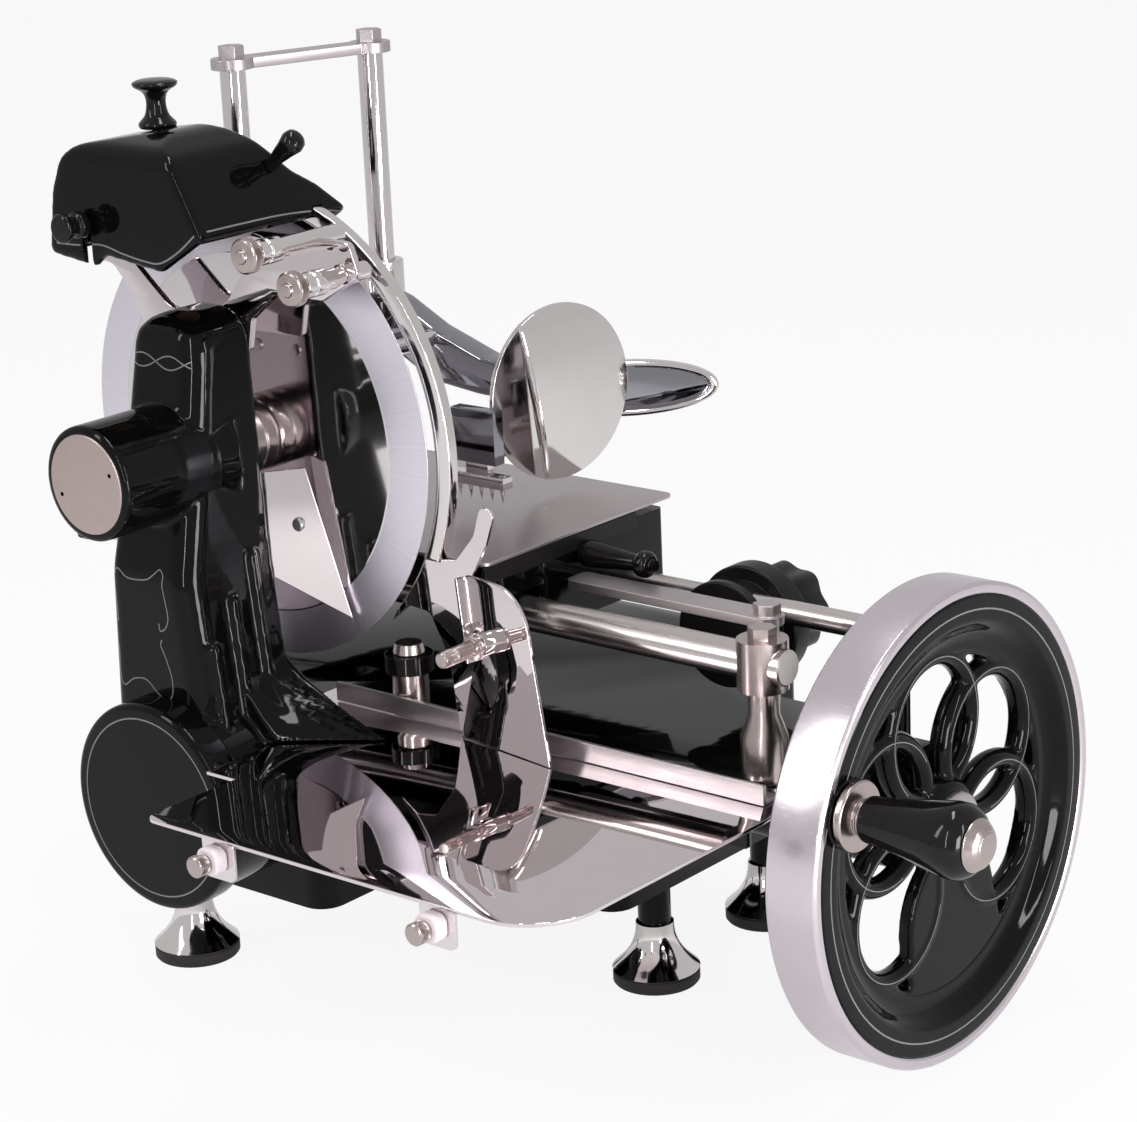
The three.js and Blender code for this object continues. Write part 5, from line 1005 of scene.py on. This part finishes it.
# %% Deflector and rail
PIN, SHEET_PLACE, SHEET_TURN = (163, 0, -91), (137, 1, -149.7), -9.3
sheet_turn = leant(SHEET_PLACE, SHEET_TURN)
leaf = outline([(0, 0), (72, 0, 1), (55, 92, 27), (8.6, 92, 3), (14.4, 46, 20)], 20)
dress(slab("deflector_skin", [leaf], "y", 0, 2, 0.3, place=sheet_turn), sheet_steel, "deflector")
lip = outline([(8.6, 91), (10.4, 91), (16.2, 46), (14.4, 46)])
dress(slab("deflector_lip", [lip], "y", -6, 0.5, 0.2, place=sheet_turn), polished_steel, "deflector")
dress(rod("deflector_eye", "y", PIN, -12, 1, 6.7, 48, 4.7, 0.2), polished_steel, "deflector")
pin = [(-40, 0), (-40, 3.6), (-39.2, 4.4), (-32, 4.4), (-31.6, 3.9), (-30.6, 3.9), (-30.2, 4.4)]
pin += [(-16, 4.4), (-15.8, 6.4), (-12.4, 6.4), (-12.2, 4.4), (0.6, 4.4), (0.6, 0)]
dress(turned("pin_skin", pin, "y", PIN, 0.2, 64), turned_steel, "deflector_pin")
dress(block("rail_wall", (40, 332), (6.6, 9), (-149.6, -139), 0.3), satin_steel, "tray_rail")
dress(block("rail_foot", (204, 332), (8, 20), (-149.6, -147.4), 0.3), satin_steel, "tray_rail")

# %% [markdown]
# Two ground rods carry the table and two upright ones the press. Each ends in a small chamfer,
# which is where a ground rod catches the light. The dial's grip is a circle with seven lobes.

# %% Rods, posts and dial
ROD_HEIGHT, ROD_LEFT, PRESS_ROD, DIAL = -90, -201, 7.25, (234, 0, -105)
RODS = {"front_rod": (44, 9.4, 322), "rear_rod": (119, 6.6, 344)}
LOBES, GRIP_RADIUS, LOBE_HIGH = 7, 23.5, 1.5
for name, (y, radius, right) in RODS.items():
    bar = [(ROD_LEFT, 0), (ROD_LEFT, radius - 0.8), (ROD_LEFT + 0.8, radius), (right - 0.8, radius)]
    bar += [(right, radius - 0.8), (right, 0)]
    dress(turned(name + "_skin", bar, "x", (0, y, ROD_HEIGHT), 0, 96), rod_steel, name)
for name, (x, y) in PRESS_RODS.items():
    upright = rod(f"press_rod_{name}_skin", "z", (x, y, 0), -54.7, 186, PRESS_ROD, 96, edge=0.3)
    dress(upright, polished_steel, "press_rod_" + name)
housing = [(105, 0), (105, 28.6), (106, 29.5), (110, 29.5), (111, 28.5), (111.6, 24.5), (127, 24.5)]
housing += [(127, 31.6), (128, 32.6), (140, 32.6), (141, 31.6), (141, 0)]
dress(turned("dial_skin", housing, "y", DIAL, 0.4, 144), dull_resin, "dial_housing")
waves = np.linspace(0, 2 * np.pi, 210, endpoint=False)
reach = GRIP_RADIUS + LOBE_HIGH * np.cos(LOBES * waves)
lobes = np.stack([DIAL[0] + reach * np.cos(waves), DIAL[2] + reach * np.sin(waves)], -1)
dress(slab("dial_grip", [lobes], "y", 148.6, 170.2, 1.6), dull_resin, "thickness_knob")
ball = [(147, 0), (147.6, 4), (149.6, 6.4), (152.6, 7.6), (157, 7.5), (170, 6.2), (183, 4.8), (187.4, 4.5)]
ball = curved(ball + [(188.2, 6.4), (190.4, 7.3), (194, 7.1), (196, 5.4), (196.4, 3), (199.2, 3)], 5)
ball = np.vstack([ball, (199.2, 0)])
dress(turned("feed_skin", ball, "x", (0, 94, -69.3), 0, 72), gloss_resin, "feed_handle")
dress(rod("dial_neck", "y", DIAL, 141.4, 149, 17, 96, edge=0.4), dull_resin, "thickness_knob")

# %% [markdown]
# The base casting keeps its packed form, with softer edges. The end of its shelf, which the column
# hides in the photo, is cut away with a plain block, and a yoke holds both rods' ends there.

# %% Base
shelf_end = block("gone", (-215, -97.5), (-40, 90), (-300, -60), 0.01)
base = joined(copied("base_casting"), [shelf_end], "DIFFERENCE", 35)
base.name = "base_skin"
edged(base, 0.8, 50)
dress(base, black["base"], "base_casting")
bores = [rod("bore", "x", (0, y, ROD_HEIGHT), -220, -180, radius + 0.1) for y, radius, _ in RODS.values()]
yoke = joined(block("yoke", (-200, -188), (34, 128), (-100, -80), 2.0, 3.0), bores, "DIFFERENCE")
dress(yoke, black["base"], "base_casting")

# %% [markdown]
# The painted lines are thin flat ribbons laid on the enamel: each place of a path is dropped on to
# the skin below it, so a line follows the form that carries it.

# %% Painted lines
line_greys = shade(0.19, 0.19, 0.20), shade(0.14, 0.14, 0.15)
line_paint = coat("painted_line", line_greys, 2.0, 0.3, 0.1, 0.01)


def pinstripe(name, body, skin, path, way, width):
    """A ribbon along a path, dropped on to a skin; its sides lie half a width off, along run x normal."""
    path, way, edges = np.array(path, float), Vector(way), []
    for here, run in zip(placed(path), np.gradient(path, axis=0)):
        found, spot, normal, _ = bpy.data.objects[skin].ray_cast(Vector(here) - way * 0.08, way)
        if found:
            side = Vector(run).cross(normal).normalized() * width * MM / 2
            spot = spot + normal * 0.00007
            edges += [tuple(spot - side), tuple(spot + side)]
    mesh = bpy.data.meshes.new(name)
    mesh.from_pydata(edges, [], grid_faces(len(edges) // 2, 2, closed=False).tolist())
    piece = finished_mesh(name, mesh, 60)
    piece.data.materials.append(line_paint)
    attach(piece, body)
    print(name, "runs over", len(edges) // 2, "places of", skin)
    return piece


def around(middle, radius, axis, start=0, end=360):
    """Places on a circle round an axis, between two turns in degrees."""
    first, second, third = AXES[axis]
    start, end = np.radians([start, end])
    return on_plane(arc(radius, start, end, 240, middle[first], middle[second]), axis, middle[third])


def drawn(places, axis, level):
    """A soft curve through flat places, on a plane square to an axis."""
    return on_plane(curved(places, 10), axis, level)


bpy.context.view_layer.update()
LINE_REACH, RIM_LINE, COVER_LINE = 128, 113.5, 50
pinstripe("wheel_line", "wheel", "wheel_dish", around(WHEEL, RIM_LINE, "x"), (-1, 0, 0), 0.9)
for ring, turn in enumerate(ring_turns):
    if ring == FILLED:
        continue
    loop = around(about_wheel(RING_CENTRE, turn), RING_MEAN, "x", turn - LINE_REACH, turn + LINE_REACH)
    pinstripe(f"ring_line_{ring}", "wheel", "wheel_web", loop, (-1, 0, 0), 0.55)
loop = around((DRIVE[0], -108, DRIVE[2]), COVER_LINE, "y")
pinstripe("cover_line", "frame", "cover_skin", loop, (0, 1, 0), 0.8)
along = np.linspace(0, 1, 14)
for number, sign in enumerate((1, -1)):
    wave = [(-22 + 42 * t, 53 + sign * 3.6 * np.sin(2 * np.pi * t + 0.5)) for t in along]
    pinstripe(f"wave_{number}", "frame", "case_skin", drawn(wave, "y", -140), (0, 1, 0), 0.7)
upper = [(-25, -84), (-26, -60), (-22, -54), (-10, -58), (10, -57), (20, -53), (26, -50)]
upper += [(30, -53), (29, -58), (31, -66), (33, -76), (29, -82), (23, -84), (22, -80)]
lower = [(-27, -98), (-28, -114), (-24, -120), (-12, -115), (2, -114), (14, -120), (24, -123)]
lower += [(31, -119), (32, -110), (28, -101), (24, -95), (22, -92), (24, -89)]
FRAME_LEFT, FRAME_NARROW, FRAME_DOWN = -25, 0.68, 4
for name, path in (("frame_upper", upper), ("frame_lower", lower)):
    path = [(FRAME_LEFT + (x - FRAME_LEFT) * FRAME_NARROW, z - FRAME_DOWN) for x, z in path]
    pinstripe(name, "frame", "case_skin", drawn(path, "y", -140), (0, 1, 0), 0.7)
front_edge = [(-59, 113.6), (-42, 114), (-24, 115.6), (-8, 112.4), (8, 110), (20, 110), (34, 117)]
front_edge.append((47, 126.6))
pinstripe("hood_line", "frame", "hood_skin", drawn(front_edge, "y", -110), (0, 1, 0), 0.9)
side_edge = [(-74, 128), (-50, 128), (-20, 127.6), (6, 125.5), (26, 122)]
pinstripe("hood_side_line", "frame", "hood_skin", drawn(side_edge, "x", 90), (-1, 0, 0), 0.9)

# %% [markdown]
# The rest of the solids are plain enough to be shown as they were packed, and a drive that is
# hidden in its case needs no finer form. A table says which finish each of them gets.

# %% Everything else
finishes = {
    sheet_steel: ["guard_foot", "slice_plate"],
    turned_steel: ["roller_stud", "front_post"],
    satin_steel: ["link_bar", "meat_table", "press_bar"],
    gloss_resin: ["roller"],
    dull_resin: ["table_strip"],
    hidden_steel: ["drive_chain", "cross_shaft", "lower_sprocket", "blade_shaft"],
    black["saddle"]: ["carriage_saddle"],
}
for material, names in finishes.items():
    for node in names:
        dressed(node, material)
missed = [node for node in frame["nodes"] if not frame["nodes"][node].hide_render]
print("nodes still as packed:", missed)

# %% [markdown]
# The stage is a plain pale floor under a white surround. Both turn white only for the camera and
# for mirror rays, so the lamps can stay soft and steel still shows a white studio.

# %% Floor and surround
FLOOR_REACH = 6.0
floor_mesh = bpy.data.meshes.new("floor")
rim = on_plane(circle(FLOOR_REACH, steps=64), "z", -0.0002)
floor_mesh.from_pydata(rim.tolist(), [], [list(range(64))])
linked("floor", floor_mesh)
print("floor reaches", FLOOR_REACH, "metres")


def seen(finish, mirrored):
    """1 for rays from the camera, and a lower share for mirror rays."""
    path = finish.add("ShaderNodeLightPath")
    return path["Is Camera Ray"].most(path["Is Glossy Ray"] * mirrored)


paint = Finish("pale_floor")
diffuse = paint.add("ShaderNodeBsdfDiffuse", None, (shade(0.86),))
glow = paint.add("ShaderNodeEmission", None, (shade(1.0), 1.0))
mix = paint.add("ShaderNodeMixShader", None, (seen(paint, 0.5) * 0.9, diffuse[0], glow[0]))
paint.add("ShaderNodeOutputMaterial", None, (mix[0],))
floor_mesh.materials.append(paint.material)

world = bpy.data.worlds.new("studio")
bpy.context.scene.world = world
air = Finish("air", world)
level = 0.42 + seen(air, 0.35) * 0.58
sky = air.add("ShaderNodeBackground", None, (shade(1.0), level))
air.add("ShaderNodeOutputWorld", None, (sky[0],))

# %% [markdown]
# Five soft boxes: the key from the left and above, a narrow strip that draws the bright lines down
# the enamel, one overhead, and two at the right, for the wheel and for the column's side.

# %% Lamps
def soft_box(name, place, target, wide, high, watts):
    """A rectangular lamp at a place, turned to look at the target."""
    lamp = bpy.data.lights.new(name, "AREA")
    lamp.shape, lamp.size, lamp.size_y, lamp.energy = "RECTANGLE", wide, high, watts
    holder = linked(name, lamp)
    holder.location = place
    holder.rotation_mode = "QUATERNION"
    holder.rotation_quaternion = (Vector(target) - Vector(place)).to_track_quat("-Z", "Y")
    print(name, "lamp:", watts, "watts")


MIDDLE = (0.0, 0.0, 0.25)
soft_box("key", (-0.9, -1.5, 1.4), MIDDLE, 0.3, 1.3, 11)
soft_box("strip", (0.75, -1.8, 0.9), MIDDLE, 0.07, 1.5, 12)
soft_box("top", (0.1, 0.1, 1.8), MIDDLE, 1.0, 0.22, 10)
soft_box("fill", (1.9, 0.1, 0.8), MIDDLE, 0.12, 1.2, 8)
soft_box("side", (1.15, -0.3, 0.24), (-0.1, -0.08, 0.3), 0.3, 0.4, 7)

# %% [markdown]
# The camera stands where the photographer stood: the angles and the distance were worked out from
# the ellipses of the blade and the wheel.

# %% Camera
AZIMUTH, ELEVATION, ROLL = np.radians([40.38, 16.79, -2.55])
LENS, CAMERA_PLACE = 98.53, (1.0699, -1.1738, 0.7365)
lens = bpy.data.cameras.new("camera")
lens.lens, lens.sensor_width, lens.clip_start, lens.clip_end = LENS, 36.0, 0.05, 50.0
camera = linked("camera", lens)
swing = Matrix.Rotation(AZIMUTH, 4, "Z")
tilt = Matrix.Rotation(np.pi / 2 - ELEVATION, 4, "X")
camera.matrix_world = Matrix.Translation(CAMERA_PLACE) @ swing @ tilt @ Matrix.Rotation(ROLL, 4, "Z")
bpy.context.scene.camera = camera
print("camera at", CAMERA_PLACE, "metres, with a lens of", LENS, "mm")
bpy.context.scene.view_settings.view_transform = "Standard"
